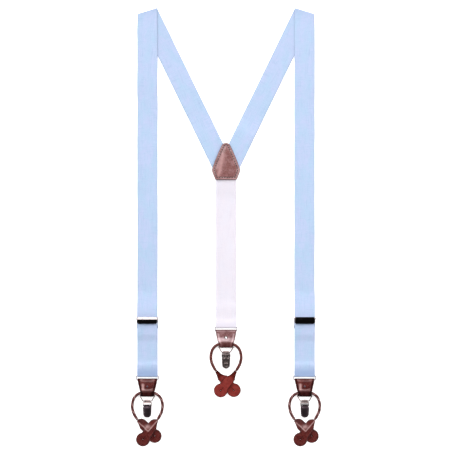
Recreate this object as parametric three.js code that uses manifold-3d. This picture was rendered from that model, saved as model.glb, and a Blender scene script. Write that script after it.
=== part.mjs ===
// Convertible suspenders (braces) with a Y back, laid flat and face up.
// Millimetres, +X to the right of the lay, +Y towards the shoulder folds, +Z up.
// Inside the group, Y is counted from the lowest point of the front button tabs.
// The group is then lowered by half the length, so the origin is the bottom centre.

import * as THREE from 'three';
import { mergeVertices } from 'three/addons/utils/BufferGeometryUtils.js';
import Module from 'manifold-3d';

const wasm = await Module();
wasm.setup();

// Driving dimensions
const LENGTH = 752;                 // shoulder folds to the front button tabs
const STRAP_WIDTH = 35;
const STRAP_T = 1.0;
const GAP = 0.3;                    // between touching pieces
const FRONT_X = 134.8;              // centre line of each front strap
const BACK_ANGLE = 26;              // back runs, degrees from the long axis
const FOLD_ANGLE = 17;              // fold lines, degrees from the cross axis
const FOLD_R = 1.3;                 // half the height of the folded edge
const WIRE_R = 0.9;
const LEATHER_T = 1.3;
const CORD_R = 2.5;
const CORD_REST_Z = 2.6;            // centre of the cord where it lies on the surface
const ADJUSTER_Y = 215;
const PATCH_TOP = 520;
const PATCH_BOTTOM = 456.5;
const PATCH_WIDE_Y = 475;
const PATCH_WIDTH = 48;
const PATCH_FOOT = 36.4;
const PATCH_TIP = 13.6;             // width of the rounded top
const PATCH_CROWN = 3.2;            // rise of the rounded top
const PATCH_T = 1.3;
const LINING_T = 1.2;
const FRONT_END_Y = 116;            // top edge of the front leather tabs
const REAR_END_Y = 199.7;           // top edge of the rear leather tab

// Levels above the surface
const RING_Z = 2.1;
const FRONT_LAYER_Z = RING_Z + WIRE_R + 0.2;
const EYE_R = WIRE_R + 0.25;
const TUNNEL_Z = 4.1;
const STACK_Z = 3.7;                // underside of the front layer in the adjuster

const FOLD = THREE.MathUtils.degToRad(FOLD_ANGLE);
const BACK = THREE.MathUtils.degToRad(BACK_ANGLE);
const FOLD_TAN = Math.tan(FOLD);
const BACK_TAN = Math.tan(BACK);
const RUN_START_TAN = Math.tan(BACK - FOLD);
const FOLD_Y = LENGTH - FOLD_TAN * STRAP_WIDTH / 2 - FOLD_R / Math.cos(FOLD);

// Materials
const fabric = new THREE.MeshStandardMaterial({ color: '#bcd3f2', roughness: 0.85, metalness: 0 });
const elastic = new THREE.MeshStandardMaterial({ color: '#f4f2fb', roughness: 0.9, metalness: 0 });
const leather = new THREE.MeshStandardMaterial({ color: '#5f2f2c', roughness: 0.45, metalness: 0 });
const patchLeather = new THREE.MeshStandardMaterial({ color: '#8a5f5a', roughness: 0.5, metalness: 0 });
const flesh = new THREE.MeshStandardMaterial({ color: '#8e2f28', roughness: 0.8, metalness: 0 });
const nickel = new THREE.MeshStandardMaterial({ color: '#c9c6c8', roughness: 0.25, metalness: 1 });
const darkChrome = new THREE.MeshStandardMaterial({ color: '#4a464c', roughness: 0.15, metalness: 1 });
const rubber = new THREE.MeshStandardMaterial({ color: '#2c2a2b', roughness: 0.8, metalness: 0 });

const suspenders = new THREE.Group();

function addNode(name, geometry, material, parent = suspenders) {
  const mesh = new THREE.Mesh(geometry, material);
  mesh.name = name;
  parent.add(mesh);
  return mesh;
}

// Booleans

function toSolid(geometry) {
  const bare = geometry.clone();
  bare.deleteAttribute('normal');
  bare.deleteAttribute('uv');
  const merged = mergeVertices(bare, 1e-4);
  const mesh = new wasm.Mesh({
    numProp: 3,
    vertProperties: new Float32Array(merged.attributes.position.array),
    triVerts: new Uint32Array(merged.index.array),
  });
  return new wasm.Manifold(mesh);
}

function toGeometry(solid) {
  const mesh = solid.getMesh();
  const geometry = new THREE.BufferGeometry();
  geometry.setAttribute('position', new THREE.BufferAttribute(mesh.vertProperties, 3));
  geometry.setIndex(new THREE.BufferAttribute(mesh.triVerts, 1));
  return geometry;
}

// Joins the first list of shapes and cuts the second list out of them.
function carve(joined, cut = []) {
  let solid = toSolid(joined[0]);
  for (const shape of joined.slice(1)) {
    solid = solid.add(toSolid(shape));
  }
  for (const shape of cut) {
    solid = solid.subtract(toSolid(shape));
  }
  return toGeometry(solid);
}

// Shapes

function block(x0, x1, y0, y1, z0, z1) {
  const box = new THREE.BoxGeometry(x1 - x0, y1 - y0, z1 - z0);
  return box.translate((x0 + x1) / 2, (y0 + y1) / 2, (z0 + z1) / 2);
}

function rodAlongX(radius, halfLength, y, z, sides = 16) {
  const rod = new THREE.CylinderGeometry(radius, radius, 2 * halfLength, sides);
  return rod.rotateZ(Math.PI / 2).translate(0, y, z);
}

function rodAlongZ(radius, x, y, z0, z1, sides = 16) {
  const rod = new THREE.CylinderGeometry(radius, radius, z1 - z0, sides);
  return rod.rotateX(Math.PI / 2).translate(x, y, (z0 + z1) / 2);
}

// An outline in plan, raised from z0 to z1.
function plate(outline, z0, z1, curveSegments = 6) {
  const options = { depth: z1 - z0, bevelEnabled: false, curveSegments };
  return new THREE.ExtrudeGeometry(outline, options).translate(0, 0, z0);
}

// An outline drawn in the YZ plane, drawn out across X.
function sideProfile(outline, width, curveSegments = 6) {
  const options = { depth: width, bevelEnabled: false, curveSegments };
  const geometry = new THREE.ExtrudeGeometry(outline, options);
  const across = new THREE.Matrix4().makeBasis(
    new THREE.Vector3(0, 1, 0),
    new THREE.Vector3(0, 0, 1),
    new THREE.Vector3(1, 0, 0),
  );
  return geometry.applyMatrix4(across).translate(-width / 2, 0, 0);
}

// A strap seen from the side: stations are [y, height of the underside], from the top down.
function ribbonOutline(stations) {
  const outline = new THREE.Shape();
  outline.moveTo(...stations[0]);
  for (const [y, z] of stations.slice(1)) {
    outline.lineTo(y, z);
  }
  for (const [y, z] of [...stations].reverse()) {
    outline.lineTo(y, z + STRAP_T);
  }
  return outline;
}

// Slides each point along Y by its own amount, so that an end follows a slanting line.
function skew(geometry, slopeAt) {
  const position = geometry.attributes.position;
  for (let i = 0; i < position.count; i += 1) {
    const y = position.getY(i);
    position.setY(i, y + slopeAt(y) * position.getX(i));
  }
  return geometry;
}

// A round wire or cord along an open path.
function wire(points, radius, sides, steps) {
  const path = new THREE.CatmullRomCurve3(points, false, 'centripetal');
  return sweep(path.getSpacedPoints(steps), radius, sides);
}

// A closed four-sided wire frame, bent from one length, with a butt joint in its first side.
// Corners are [x, y]; the joint is half way along the side from the last corner to the first.
function wireFrame(corners, z, bendR) {
  const joint = 0.2;                // half the gap at the butt joint
  const lead = 0.05;                // share of a side with a section before its bend
  const count = corners.length;
  const points = [];
  const first = new THREE.Vector2(...corners[0]);
  const last = new THREE.Vector2(...corners[count - 1]);
  const middle = first.clone().add(last).multiplyScalar(0.5);
  const along = first.clone().sub(last).normalize();
  points.push(middle.clone().addScaledVector(along, joint));
  for (let i = 0; i < count; i += 1) {
    const corner = new THREE.Vector2(...corners[i]);
    const before = i === 0 ? last : new THREE.Vector2(...corners[i - 1]);
    const after = new THREE.Vector2(...corners[(i + 1) % count]);
    const from = before.clone().sub(corner).setLength(bendR).add(corner);
    const to = after.clone().sub(corner).setLength(bendR).add(corner);
    const bend = new THREE.QuadraticBezierCurve(from, corner, to);
    points.push(from.clone().lerp(before, lead), ...bend.getPoints(4), to.clone().lerp(after, lead));
  }
  points.push(middle.clone().addScaledVector(along, -joint));
  return sweep(points.map((p) => new THREE.Vector3(p.x, p.y, z)), WIRE_R, 8);
}

// A sweep with one section at each given point.
function sweep(points, radius, sides) {
  class Stations extends THREE.Curve {
    getPoint(t) {
      const place = t * (points.length - 1);
      const index = Math.min(Math.floor(place), points.length - 2);
      return points[index].clone().lerp(points[index + 1], place - index);
    }

    getTangent(t) {
      const place = Math.round(t * (points.length - 1));
      const before = points[Math.max(place - 1, 0)];
      const after = points[Math.min(place + 1, points.length - 1)];
      return after.clone().sub(before).normalize();
    }

    getPointAt(t) {
      return this.getPoint(t);
    }

    getTangentAt(t) {
      return this.getTangent(t);
    }
  }
  const section = new THREE.Shape();
  section.absarc(0, 0, radius, 0, 2 * Math.PI);
  const outline = new THREE.Shape(section.getPoints(sides).slice(0, sides));
  const options = { steps: points.length - 1, extrudePath: new Stations(), bevelEnabled: false };
  return new THREE.ExtrudeGeometry(outline, options);
}

// Yoke: crosspatch, back runs and elastic

const RUN_BOTTOM = 472;             // where the back runs end inside the crosspatch
const RUN_LENGTH = (FOLD_Y - RUN_BOTTOM) / Math.cos(BACK);
const RUN_LEVEL = 65;               // length of each run at its level in the crosspatch
const RUN_RAMP = 40;                // length over which it climbs to that level
const RUN_LEVELS = { left: 1.5, right: 2.8 };
const PATCH_Z = 4.1;

function crosspatchOutline(inset) {
  const half = PATCH_WIDTH / 2 - inset;
  const foot = PATCH_FOOT / 2 - inset * 0.7;
  const tip = PATCH_TIP / 2 - inset * 0.45;
  const tipY = PATCH_TOP - PATCH_CROWN - inset * 1.15;
  const low = PATCH_BOTTOM + inset;
  const cheek = [half - 6.6, PATCH_WIDE_Y + 20];
  const hip = [half - 1.8, PATCH_WIDE_Y - 8.5];
  const outline = new THREE.Shape();
  outline.moveTo(-tip, tipY);
  outline.quadraticCurveTo(0, tipY + 2 * PATCH_CROWN, tip, tipY);
  outline.quadraticCurveTo(...cheek, half, PATCH_WIDE_Y);
  outline.quadraticCurveTo(half + 0.3, PATCH_WIDE_Y - 5, ...hip);
  outline.lineTo(foot + 0.8, low + 2);
  outline.quadraticCurveTo(foot, low, foot - 2, low);
  outline.lineTo(-foot + 2, low);
  outline.quadraticCurveTo(-foot, low, -foot - 0.8, low + 2);
  outline.lineTo(-hip[0], hip[1]);
  outline.quadraticCurveTo(-half - 0.3, PATCH_WIDE_Y - 5, -half, PATCH_WIDE_Y);
  outline.quadraticCurveTo(-cheek[0], cheek[1], -tip, tipY);
  return outline;
}

function backRun(side, level) {
  const endGap = FOLD_R + 0.4;
  const stations = [
    [-endGap, 0],
    [-RUN_LENGTH + RUN_LEVEL + RUN_RAMP, 0],
    [-RUN_LENGTH + RUN_LEVEL, level],
    [-RUN_LENGTH, level],
  ];
  const geometry = sideProfile(ribbonOutline(stations), STRAP_WIDTH);
  const turned = (y) => RUN_START_TAN + (BACK_TAN - RUN_START_TAN) * (-y / RUN_LENGTH);
  const slope = (y) => -side * turned(y);
  return skew(geometry, slope);
}

const lining = plate(crosspatchOutline(0.5), 0, LINING_T);
const patch = plate(crosspatchOutline(0), PATCH_Z, PATCH_Z + PATCH_T);
addNode('crosspatch_lining', lining, patchLeather);
addNode('crosspatch_top', patch, patchLeather);

for (const [name, side] of [['left', -1], ['right', 1]]) {
  const run = addNode(`back_strap_${name}`, backRun(-side, RUN_LEVELS[name]), fabric);
  run.position.set(side * FRONT_X, FOLD_Y, 0);
  run.rotation.z = THREE.MathUtils.degToRad(-side * BACK_ANGLE);
}

// The elastic lies on the lining, drops to the surface, and climbs again to its ring.
const ELASTIC_TOP = 468;
const ELASTIC_END = 222;            // where the turn round the rear ring begins
const ELASTIC_STEP = 1.3;
const elasticStations = [
  [ELASTIC_TOP, RUN_LEVELS.left],
  [ELASTIC_TOP - 23, RUN_LEVELS.left],
  [ELASTIC_TOP - 43, 0],
  [ELASTIC_END + 28, 0],
  [ELASTIC_END + 14, ELASTIC_STEP],
  [ELASTIC_END + 0.6, ELASTIC_STEP],
];
addNode('elastic_strap', sideProfile(ribbonOutline(elasticStations), STRAP_WIDTH), elastic);

// Ends of the straps, each turned round the upper bar of its ring

// The front leg comes down from topY at frontZ, turns round the bar and runs back up to topY.
function turnOutline(barY, topY, frontZ) {
  const outer = FRONT_LAYER_Z + STRAP_T - RING_Z;
  const inner = outer - STRAP_T;
  const outline = new THREE.Shape();
  outline.moveTo(topY, frontZ + STRAP_T);
  outline.lineTo(topY - 4, frontZ + STRAP_T);
  outline.lineTo(barY + 3, RING_Z + outer);
  outline.lineTo(barY, RING_Z + outer);
  outline.absarc(barY, RING_Z, outer, Math.PI / 2, Math.PI * 1.5, false);
  outline.lineTo(topY, RING_Z - outer);
  outline.lineTo(topY, RING_Z - inner);
  outline.lineTo(barY, RING_Z - inner);
  outline.absarc(barY, RING_Z, inner, Math.PI * 1.5, Math.PI / 2, true);
  outline.lineTo(barY + 3, RING_Z + inner);
  outline.lineTo(topY - 4, frontZ);
  outline.lineTo(topY, frontZ);
  return outline;
}

const RING_HEIGHT = 6.8;
const RING_LOW = -2.1;              // lower bar below the leather tab's top edge
const RING_TOP = RING_LOW + RING_HEIGHT;
const RING_HALF = STRAP_WIDTH / 2 + WIRE_R + 0.4;

const elasticTurn = turnOutline(REAR_END_Y + RING_TOP, ELASTIC_END, ELASTIC_STEP);
addNode('elastic_end', sideProfile(elasticTurn, STRAP_WIDTH), elastic);

// Front straps with their adjusters

const BAR_Y = ADJUSTER_Y - 11.5;    // middle of the adjuster's lower bar
const BAR_HALF = 1.5;
const PIN_Y = ADJUSTER_Y + 5;
const PIN_Z = 6.4;
const PIN_R = 0.65;
const EAR_IN = STRAP_WIDTH / 2 + 0.8;
const EAR_OUT = EAR_IN + 1.1;
const EAR_TOP = 8;
const BAR_Z = 1.3;
const BAR_T = 0.8;
const ANVIL_Z = 2.5;
const ADJUSTER_TOP = ADJUSTER_Y + 7.5;
const STRAP_END = ADJUSTER_Y - 7.6; // where the long run hands over to the adjusting loop
const RAISED_RUN = 110;             // length of the front run that lies on the back run
const SETTLED_RUN = 160;            // length at which it has come down to the surface

const LIFT = 50;                    // length over which the strap climbs into its adjuster
const LIFTED = 14;

function frontStrapGeometry(side) {
  const top = FOLD_Y;
  const under = 2 * FOLD_R - STRAP_T;
  const meet = Math.asin((under - FOLD_R) / FOLD_R);
  const stations = [
    [top - RAISED_RUN, under],
    [top - SETTLED_RUN, 0],
    [ADJUSTER_Y + LIFT, 0],
    [ADJUSTER_Y + LIFTED, STACK_Z],
    [STRAP_END, STACK_Z],
  ];
  const outline = new THREE.Shape();
  outline.moveTo(top, 2 * FOLD_R);
  for (const [y, z] of stations) {
    outline.lineTo(y, z + STRAP_T);
  }
  for (const [y, z] of [...stations].reverse()) {
    outline.lineTo(y, z);
  }
  outline.lineTo(top - FOLD_R * Math.cos(meet), under);
  outline.absarc(top, FOLD_R, FOLD_R, Math.PI - meet, Math.PI * 2.5, false);
  const straight = top - (RAISED_RUN + SETTLED_RUN) / 2;
  return skew(sideProfile(outline, STRAP_WIDTH), (y) => (y > straight ? -side * FOLD_TAN : 0));
}

// The loop's back layer, turned over the adjuster's lower bar at topY.
function returnOutline(topY, lowY) {
  const turnZ = 1.7;
  const hem = 11;
  const outline = new THREE.Shape();
  outline.moveTo(lowY, 0);
  outline.lineTo(topY, 0);
  outline.absarc(topY, turnZ, turnZ, -Math.PI / 2, Math.PI / 2, false);
  outline.lineTo(topY - hem, 2 * turnZ);
  outline.lineTo(topY - hem, 2 * turnZ - STRAP_T);
  outline.lineTo(topY, 2 * turnZ - STRAP_T);
  outline.absarc(topY, turnZ, turnZ - STRAP_T, Math.PI / 2, -Math.PI / 2, true);
  outline.lineTo(lowY, STRAP_T);
  return outline;
}

function adjusterFrame() {
  const low = BAR_Y - BAR_HALF;
  const deck = STACK_Z - GAP;
  const joined = [
    block(-EAR_OUT, EAR_OUT, low, BAR_Y + BAR_HALF, BAR_Z, BAR_Z + BAR_T),
    block(-EAR_OUT, EAR_OUT, ADJUSTER_Y - 3, ADJUSTER_Y + 2, ANVIL_Z, deck),
  ];
  for (const side of [-1, 1]) {
    const xs = side < 0 ? [-EAR_OUT, -EAR_IN] : [EAR_IN, EAR_OUT];
    joined.push(block(...xs, low, ADJUSTER_TOP, BAR_Z, deck));
    joined.push(block(...xs, ADJUSTER_Y + 1, ADJUSTER_TOP, BAR_Z, EAR_TOP));
  }
  return carve(joined, [rodAlongX(PIN_R + GAP, EAR_OUT + 1, PIN_Y, PIN_Z)]);
}

function adjusterLever() {
  const half = STRAP_WIDTH / 2;
  const low = ADJUSTER_Y - 5.8;
  const high = ADJUSTER_Y + 6;
  const cut = 2.5;                  // chamfer of the two lower corners
  const bevel = 1;                  // chamfer of the two upper corners
  const coverZ = 7.3;
  const coverT = 0.8;
  const toothInset = 2;
  const barrelR = 1.5;
  const teethZ = STACK_Z + STRAP_T + GAP;
  const cover = new THREE.Shape();
  cover.moveTo(-half + cut, low);
  cover.lineTo(half - cut, low);
  cover.lineTo(half, low + cut);
  cover.lineTo(half, high - bevel);
  cover.lineTo(half - bevel, high);
  cover.lineTo(-half + bevel, high);
  cover.lineTo(-half, high - bevel);
  cover.lineTo(-half, low + cut);
  const joined = [
    plate(cover, coverZ, coverZ + coverT),
    block(-half + toothInset, half - toothInset, low + 2.3, low + 4.3, teethZ, coverZ + 0.2),
    rodAlongX(barrelR, half - 0.5, PIN_Y, PIN_Z),
  ];
  return carve(joined, [rodAlongX(PIN_R + GAP, EAR_OUT, PIN_Y, PIN_Z)]);
}

function frontStrap(name, side) {
  const place = new THREE.Group();
  place.position.x = side * FRONT_X;
  suspenders.add(place);
  addNode(`front_strap_${name}`, frontStrapGeometry(side), fabric, place);
  const turnTop = FRONT_END_Y + RING_TOP + 12.4;
  const seamGap = 0.5;
  const overReturn = STRAP_T + 0.4;
  const loopStations = [
    [STRAP_END - seamGap - 0.1, STACK_Z],
    [ADJUSTER_Y - 21, STACK_Z],
    [ADJUSTER_Y - 36, overReturn],
    [turnTop + 12, overReturn],
    [turnTop + 5, FRONT_LAYER_Z],
    [turnTop + seamGap, FRONT_LAYER_Z],
  ];
  const loopFront = sideProfile(ribbonOutline(loopStations), STRAP_WIDTH);
  addNode(`strap_loop_front_${name}`, loopFront, fabric, place);
  const returning = returnOutline(BAR_Y + BAR_HALF, turnTop + seamGap);
  addNode(`strap_loop_return_${name}`, sideProfile(returning, STRAP_WIDTH), fabric, place);
  const turn = turnOutline(FRONT_END_Y + RING_TOP, turnTop, FRONT_LAYER_Z);
  addNode(`strap_turn_${name}`, sideProfile(turn, STRAP_WIDTH), fabric, place);
  addNode(`adjuster_frame_${name}`, adjusterFrame(), nickel, place);
  addNode(`adjuster_pin_${name}`, rodAlongX(PIN_R, EAR_OUT + 0.5, PIN_Y, PIN_Z), nickel, place);
  addNode(`adjuster_lever_${name}`, adjusterLever(), darkChrome, place);
}

frontStrap('left', -1);
frontStrap('right', 1);

// One end assembly. Y is counted from the top edge of its leather tab.

const TAB_TOP_HALF = 17.3;
const TAB_LOW_HALF = 12;
const TAB_NARROW_Y = -23;
const RIVET_Y = -13.5;
const RIVET_SHANK_R = 1;
const CORD_Y = -24.9;
const BAIL_Y = -28.6;
const CLIP_Y = -38.2;
const CLIP_PIN_Y = -43.5;
const CLIP_PIN_Z = 5.2;
const CLIP_PIN_R = 0.6;
const CORD_SLEEVE_R = 4.1;          // outside of the leather round the cord
const BAIL_SLEEVE_R = 2.3;

// Heights of the tab's front and back faces down its length, as [y, z].
const TAB_FRONT = [[-5, 3.6], [RIVET_Y, 4.2], [-19, 4.8], [-21.2, 6.8]];
const TAB_BACK = [[-20.5, 1.1], [RIVET_Y, 1.6], [-5, 0.8]];

// bulge rounds the sides: 1 is a straight taper.
function leatherTab(bulge) {
  const outline = new THREE.Shape();
  outline.moveTo(RING_LOW, 2 * RING_Z);
  for (const point of TAB_FRONT) {
    outline.lineTo(...point);
  }
  const start = THREE.MathUtils.degToRad(40);
  outline.absarc(CORD_Y, TUNNEL_Z, CORD_SLEEVE_R, start, Math.PI / 2, false);
  outline.lineTo(BAIL_Y, TUNNEL_Z + BAIL_SLEEVE_R);
  outline.absarc(BAIL_Y, TUNNEL_Z, BAIL_SLEEVE_R, Math.PI / 2, Math.PI * 1.5, false);
  outline.lineTo(CORD_Y, 0);
  for (const point of TAB_BACK) {
    outline.lineTo(...point);
  }
  outline.lineTo(RING_LOW, 0);
  outline.absarc(RING_LOW, RING_Z, RING_Z, -Math.PI / 2, Math.PI / 2, false);
  const eye = new THREE.Path();
  eye.absarc(RING_LOW, RING_Z, EYE_R, 0, 2 * Math.PI, true);
  const tunnel = new THREE.Path();
  tunnel.absarc(CORD_Y, TUNNEL_Z, CORD_R + GAP, -Math.PI / 2, Math.PI / 2, false);
  tunnel.absarc(BAIL_Y, TUNNEL_Z, WIRE_R + GAP, Math.PI / 2, Math.PI * 1.5, false);
  outline.holes.push(eye, tunnel);
  const geometry = sideProfile(outline, 2);
  const position = geometry.attributes.position;
  for (let i = 0; i < position.count; i += 1) {
    const down = THREE.MathUtils.clamp(position.getY(i) / TAB_NARROW_Y, 0, 1) ** bulge;
    const half = THREE.MathUtils.lerp(TAB_TOP_HALF, TAB_LOW_HALF, down);
    position.setX(i, position.getX(i) * half);
  }
  return carve([geometry], [rodAlongZ(RIVET_SHANK_R + GAP, 0, RIVET_Y, 0, 6)]);
}

// A washer behind the tab and a domed head in front of it, on one shank.
function rivet(flipped) {
  const domeZ = 4.6;
  const domeR = 2.7;
  const washerZ = 1.2;
  const washerR = 2.8;
  const profile = [
    new THREE.Vector2(0, washerZ - 0.6),
    new THREE.Vector2(washerR - 0.2, washerZ - 0.6),
    new THREE.Vector2(washerR, washerZ),
    new THREE.Vector2(RIVET_SHANK_R, washerZ),
    new THREE.Vector2(RIVET_SHANK_R, domeZ),
    new THREE.Vector2(domeR, domeZ),
    new THREE.Vector2(domeR - 0.5, domeZ + 0.6),
    new THREE.Vector2(domeR - 1.5, domeZ + 1),
    new THREE.Vector2(0, domeZ + 1.1),
  ];
  const geometry = new THREE.LatheGeometry(profile, 16).rotateX(Math.PI / 2);
  const middle = (domeZ + washerZ) / 2;
  if (flipped) {
    geometry.translate(0, 0, -middle).rotateY(Math.PI).translate(0, 0, middle);
  }
  return geometry.translate(0, RIVET_Y, 0);
}

// Right-hand arm of the rolled cord, from the middle of the tunnel to its flat tab.
const CORD_ARM = [
  [0, CORD_Y, TUNNEL_Z],
  [7, CORD_Y, TUNNEL_Z],
  [12.5, -25.2, TUNNEL_Z],
  [18, -28, 3.6],
  [22.8, -33.5, 3],
  [25.4, -41, CORD_REST_Z],
  [26, -49, CORD_REST_Z],
  [24.4, -57, CORD_REST_Z],
  [21, -64.5, CORD_REST_Z],
  [16.8, -71, CORD_REST_Z],
];

function loopCord() {
  const right = CORD_ARM.map((p) => new THREE.Vector3(...p));
  const left = CORD_ARM.slice(1).map(([x, y, z]) => new THREE.Vector3(-x, y, z));
  return wire([...left.reverse(), ...right], CORD_R, 8, 44);
}

const DISC_R = 11.8;
const BUTTON_TAB_T = 1.8;
const NECK = 1.3;                   // clear of the cord's end
const NECK_HALF = 2.6;
const FLARE = 13;                   // where the straight sides begin
const FLARE_HALF = 8;

// A flat button tab from the cord's end to a round disc with a keyhole for the button.
function buttonTab(side, discX, discY, z0) {
  const [cordX, cordY] = CORD_ARM[CORD_ARM.length - 1];
  const start = new THREE.Vector2(side * cordX, cordY);
  const run = new THREE.Vector2(discX, discY).sub(start);
  const far = run.length();
  const shoulder = DISC_R * Math.SQRT1_2;
  const outline = new THREE.Shape();
  outline.moveTo(NECK, -NECK_HALF);
  outline.quadraticCurveTo(7, -4.5, FLARE, -FLARE_HALF);
  outline.lineTo(far - shoulder, -shoulder);
  outline.absarc(far, 0, DISC_R, -Math.PI * 0.75, Math.PI * 0.75, false);
  outline.lineTo(FLARE, FLARE_HALF);
  outline.quadraticCurveTo(7, 4.5, NECK, NECK_HALF);
  const holeR = 1.5;
  const slitHalf = 0.45;
  const slitLength = 12;
  const keyhole = new THREE.Path();
  keyhole.absarc(far, 0, holeR, -Math.PI * 0.9, Math.PI * 0.9, false);
  keyhole.lineTo(far - slitLength, slitHalf);
  keyhole.lineTo(far - slitLength, -slitHalf);
  outline.holes.push(keyhole);
  const geometry = plate(outline, z0, z0 + BUTTON_TAB_T, 8);
  return geometry.rotateZ(run.angle()).translate(start.x, start.y, 0);
}

// The wire that hangs the clip: wide in the leather sleeve, narrow in the clip's barrel.
function bail() {
  const wide = 13.2;
  const narrow = 7.6;
  const corners = [[wide, BAIL_Y], [narrow, CLIP_Y], [-narrow, CLIP_Y], [-wide, BAIL_Y]];
  return wireFrame(corners, TUNNEL_Z, 1.2);
}

const CLIP_BACK_Z = 0.5;
const CLIP_BACK_T = 0.9;
const CHEEK_IN = 6.7;
const CHEEK_OUT = 7.5;
const CHEEK_LOW = -46.5;
const CHEEK_HIGH = -41;
const CHEEK_TOP_Z = 7;
const BARREL_R = 2.1;
const BARREL_HALF = 4.7;

// The clip's back plate, with its barrel for the bail, two cheeks for the pin and pierced holes.
function clipPlate() {
  const tongueR = 6;
  const tongueY = -60.2;
  const backHalf = CHEEK_OUT - 0.1;
  const outline = new THREE.Shape();
  outline.moveTo(-backHalf, CHEEK_HIGH);
  outline.lineTo(-tongueR, tongueY - 0.3);
  outline.absarc(0, tongueY, tongueR, Math.PI, 2 * Math.PI, false);
  outline.lineTo(backHalf, CHEEK_HIGH);
  const joined = [
    plate(outline, CLIP_BACK_Z, CLIP_BACK_Z + CLIP_BACK_T),
    rodAlongX(BARREL_R, BARREL_HALF, CLIP_Y, TUNNEL_Z),
    block(-BARREL_HALF, BARREL_HALF, -42.5, CLIP_Y - 0.8, CLIP_BACK_Z, 2.9),
    block(-CHEEK_OUT, -CHEEK_IN, CHEEK_LOW, CHEEK_HIGH, CLIP_BACK_Z, CHEEK_TOP_Z),
    block(CHEEK_IN, CHEEK_OUT, CHEEK_LOW, CHEEK_HIGH, CLIP_BACK_Z, CHEEK_TOP_Z),
  ];
  const through = 2;
  const slotHalf = 2.65;
  const cut = [
    rodAlongX(WIRE_R + GAP, 10, CLIP_Y, TUNNEL_Z),
    rodAlongX(CLIP_PIN_R + GAP, 10, CLIP_PIN_Y, CLIP_PIN_Z),
    rodAlongZ(1.6, -3.3, -46, 0, through),
    rodAlongZ(1.6, 3.3, -46, 0, through),
    block(-slotHalf, slotHalf, -56.5, -54.4, 0, through),
    rodAlongZ(1.7, 0, -61, 0, through),
  ];
  return carve(joined, cut);
}

// The rounded cover that presses the jaw down, with an arm back to its pivot.
function clipLever() {
  const shoulderY = -49;
  const half = 7.3;
  const armHalf = 4.4;
  const coverZ = 6.1;
  const coverT = 1;
  const pivotR = 1.6;
  const outline = new THREE.Shape();
  outline.moveTo(-half, shoulderY);
  outline.lineTo(-6.9, -60);
  outline.quadraticCurveTo(-6.2, -66, 0, -66.2);
  outline.quadraticCurveTo(6.2, -66, 6.9, -60);
  outline.lineTo(half, shoulderY);
  outline.quadraticCurveTo(6.8, shoulderY + 1, armHalf, shoulderY + 1);
  outline.lineTo(armHalf, CLIP_PIN_Y);
  outline.lineTo(-armHalf, CLIP_PIN_Y);
  outline.lineTo(-armHalf, shoulderY + 1);
  outline.quadraticCurveTo(-6.8, shoulderY + 1, -half, shoulderY);
  const cover = plate(outline, coverZ, coverZ + coverT);
  const pivot = rodAlongX(pivotR, armHalf, CLIP_PIN_Y, CLIP_PIN_Z);
  return carve([cover, pivot], [rodAlongX(CLIP_PIN_R + GAP, 10, CLIP_PIN_Y, CLIP_PIN_Z)]);
}

function clipJaw() {
  const half = 6.3;
  const armIn = 5;
  const top = -46.5;
  const jawZ = 3.9;
  const pivotR = 1.4;
  const joined = [block(-half + 0.2, half - 0.2, -64, top, jawZ, jawZ + 0.8)];
  for (const side of [-1, 1]) {
    const xs = side < 0 ? [-half, -armIn] : [armIn, half];
    const pivot = rodAlongX(pivotR, (half - armIn) / 2, CLIP_PIN_Y, CLIP_PIN_Z);
    joined.push(block(...xs, top - 1, CLIP_PIN_Y, jawZ, jawZ + 1.2));
    joined.push(pivot.translate(side * (half + armIn) / 2, 0, 0));
  }
  return carve(joined, [rodAlongX(CLIP_PIN_R + GAP, 10, CLIP_PIN_Y, CLIP_PIN_Z)]);
}

function endAssembly(name, x, topY, lowerDisc, flipped) {
  const place = new THREE.Group();
  place.position.set(x, topY, 0);
  suspenders.add(place);
  const clip = new THREE.Group();
  if (flipped) {
    clip.rotation.y = Math.PI;
    clip.position.z = 2 * TUNNEL_Z;
  }
  place.add(clip);
  const tabSkin = flipped ? flesh : leather;
  const corners = [
    [RING_HALF, RING_TOP],
    [RING_HALF, RING_LOW],
    [-RING_HALF, RING_LOW],
    [-RING_HALF, RING_TOP],
  ];
  addNode(`ring_${name}`, wireFrame(corners, RING_Z, 1.5), nickel, place);
  addNode(`leather_tab_${name}`, leatherTab(flipped ? 1.8 : 1.3), leather, place);
  addNode(`rivet_${name}`, rivet(flipped), flipped ? nickel : darkChrome, place);
  addNode(`loop_cord_${name}`, loopCord(), leather, place);
  addNode(`button_tab_upper_${name}`, buttonTab(1, -7.5, -104.2, 3), tabSkin, place);
  addNode(`button_tab_lower_${name}`, buttonTab(-1, ...lowerDisc, 0.2), tabSkin, place);
  addNode(`bail_${name}`, bail(), nickel, place);
  addNode(`clip_plate_${name}`, clipPlate(), nickel, clip);
  addNode(`clip_pin_${name}`, rodAlongX(CLIP_PIN_R, CHEEK_OUT + 0.4, CLIP_PIN_Y, CLIP_PIN_Z), nickel, clip);
  addNode(`clip_lever_${name}`, clipLever(), darkChrome, clip);
  addNode(`clip_jaw_${name}`, clipJaw(), nickel, clip);
  addNode(`clip_pad_${name}`, block(-5.6, 5.6, -63.6, -57, 1.9, 3.6), rubber, clip);
}

endAssembly('left_front', -FRONT_X, FRONT_END_Y, [12.5, -99], false);
endAssembly('right_front', FRONT_X, FRONT_END_Y, [12.5, -99], false);
endAssembly('rear', 0, REAR_END_Y, [13.5, -104], true);

suspenders.position.y = -LENGTH / 2;

export default suspenders;
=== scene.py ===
import math

import bmesh
import bpy
import numpy as np
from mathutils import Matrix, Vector, geometry


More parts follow.
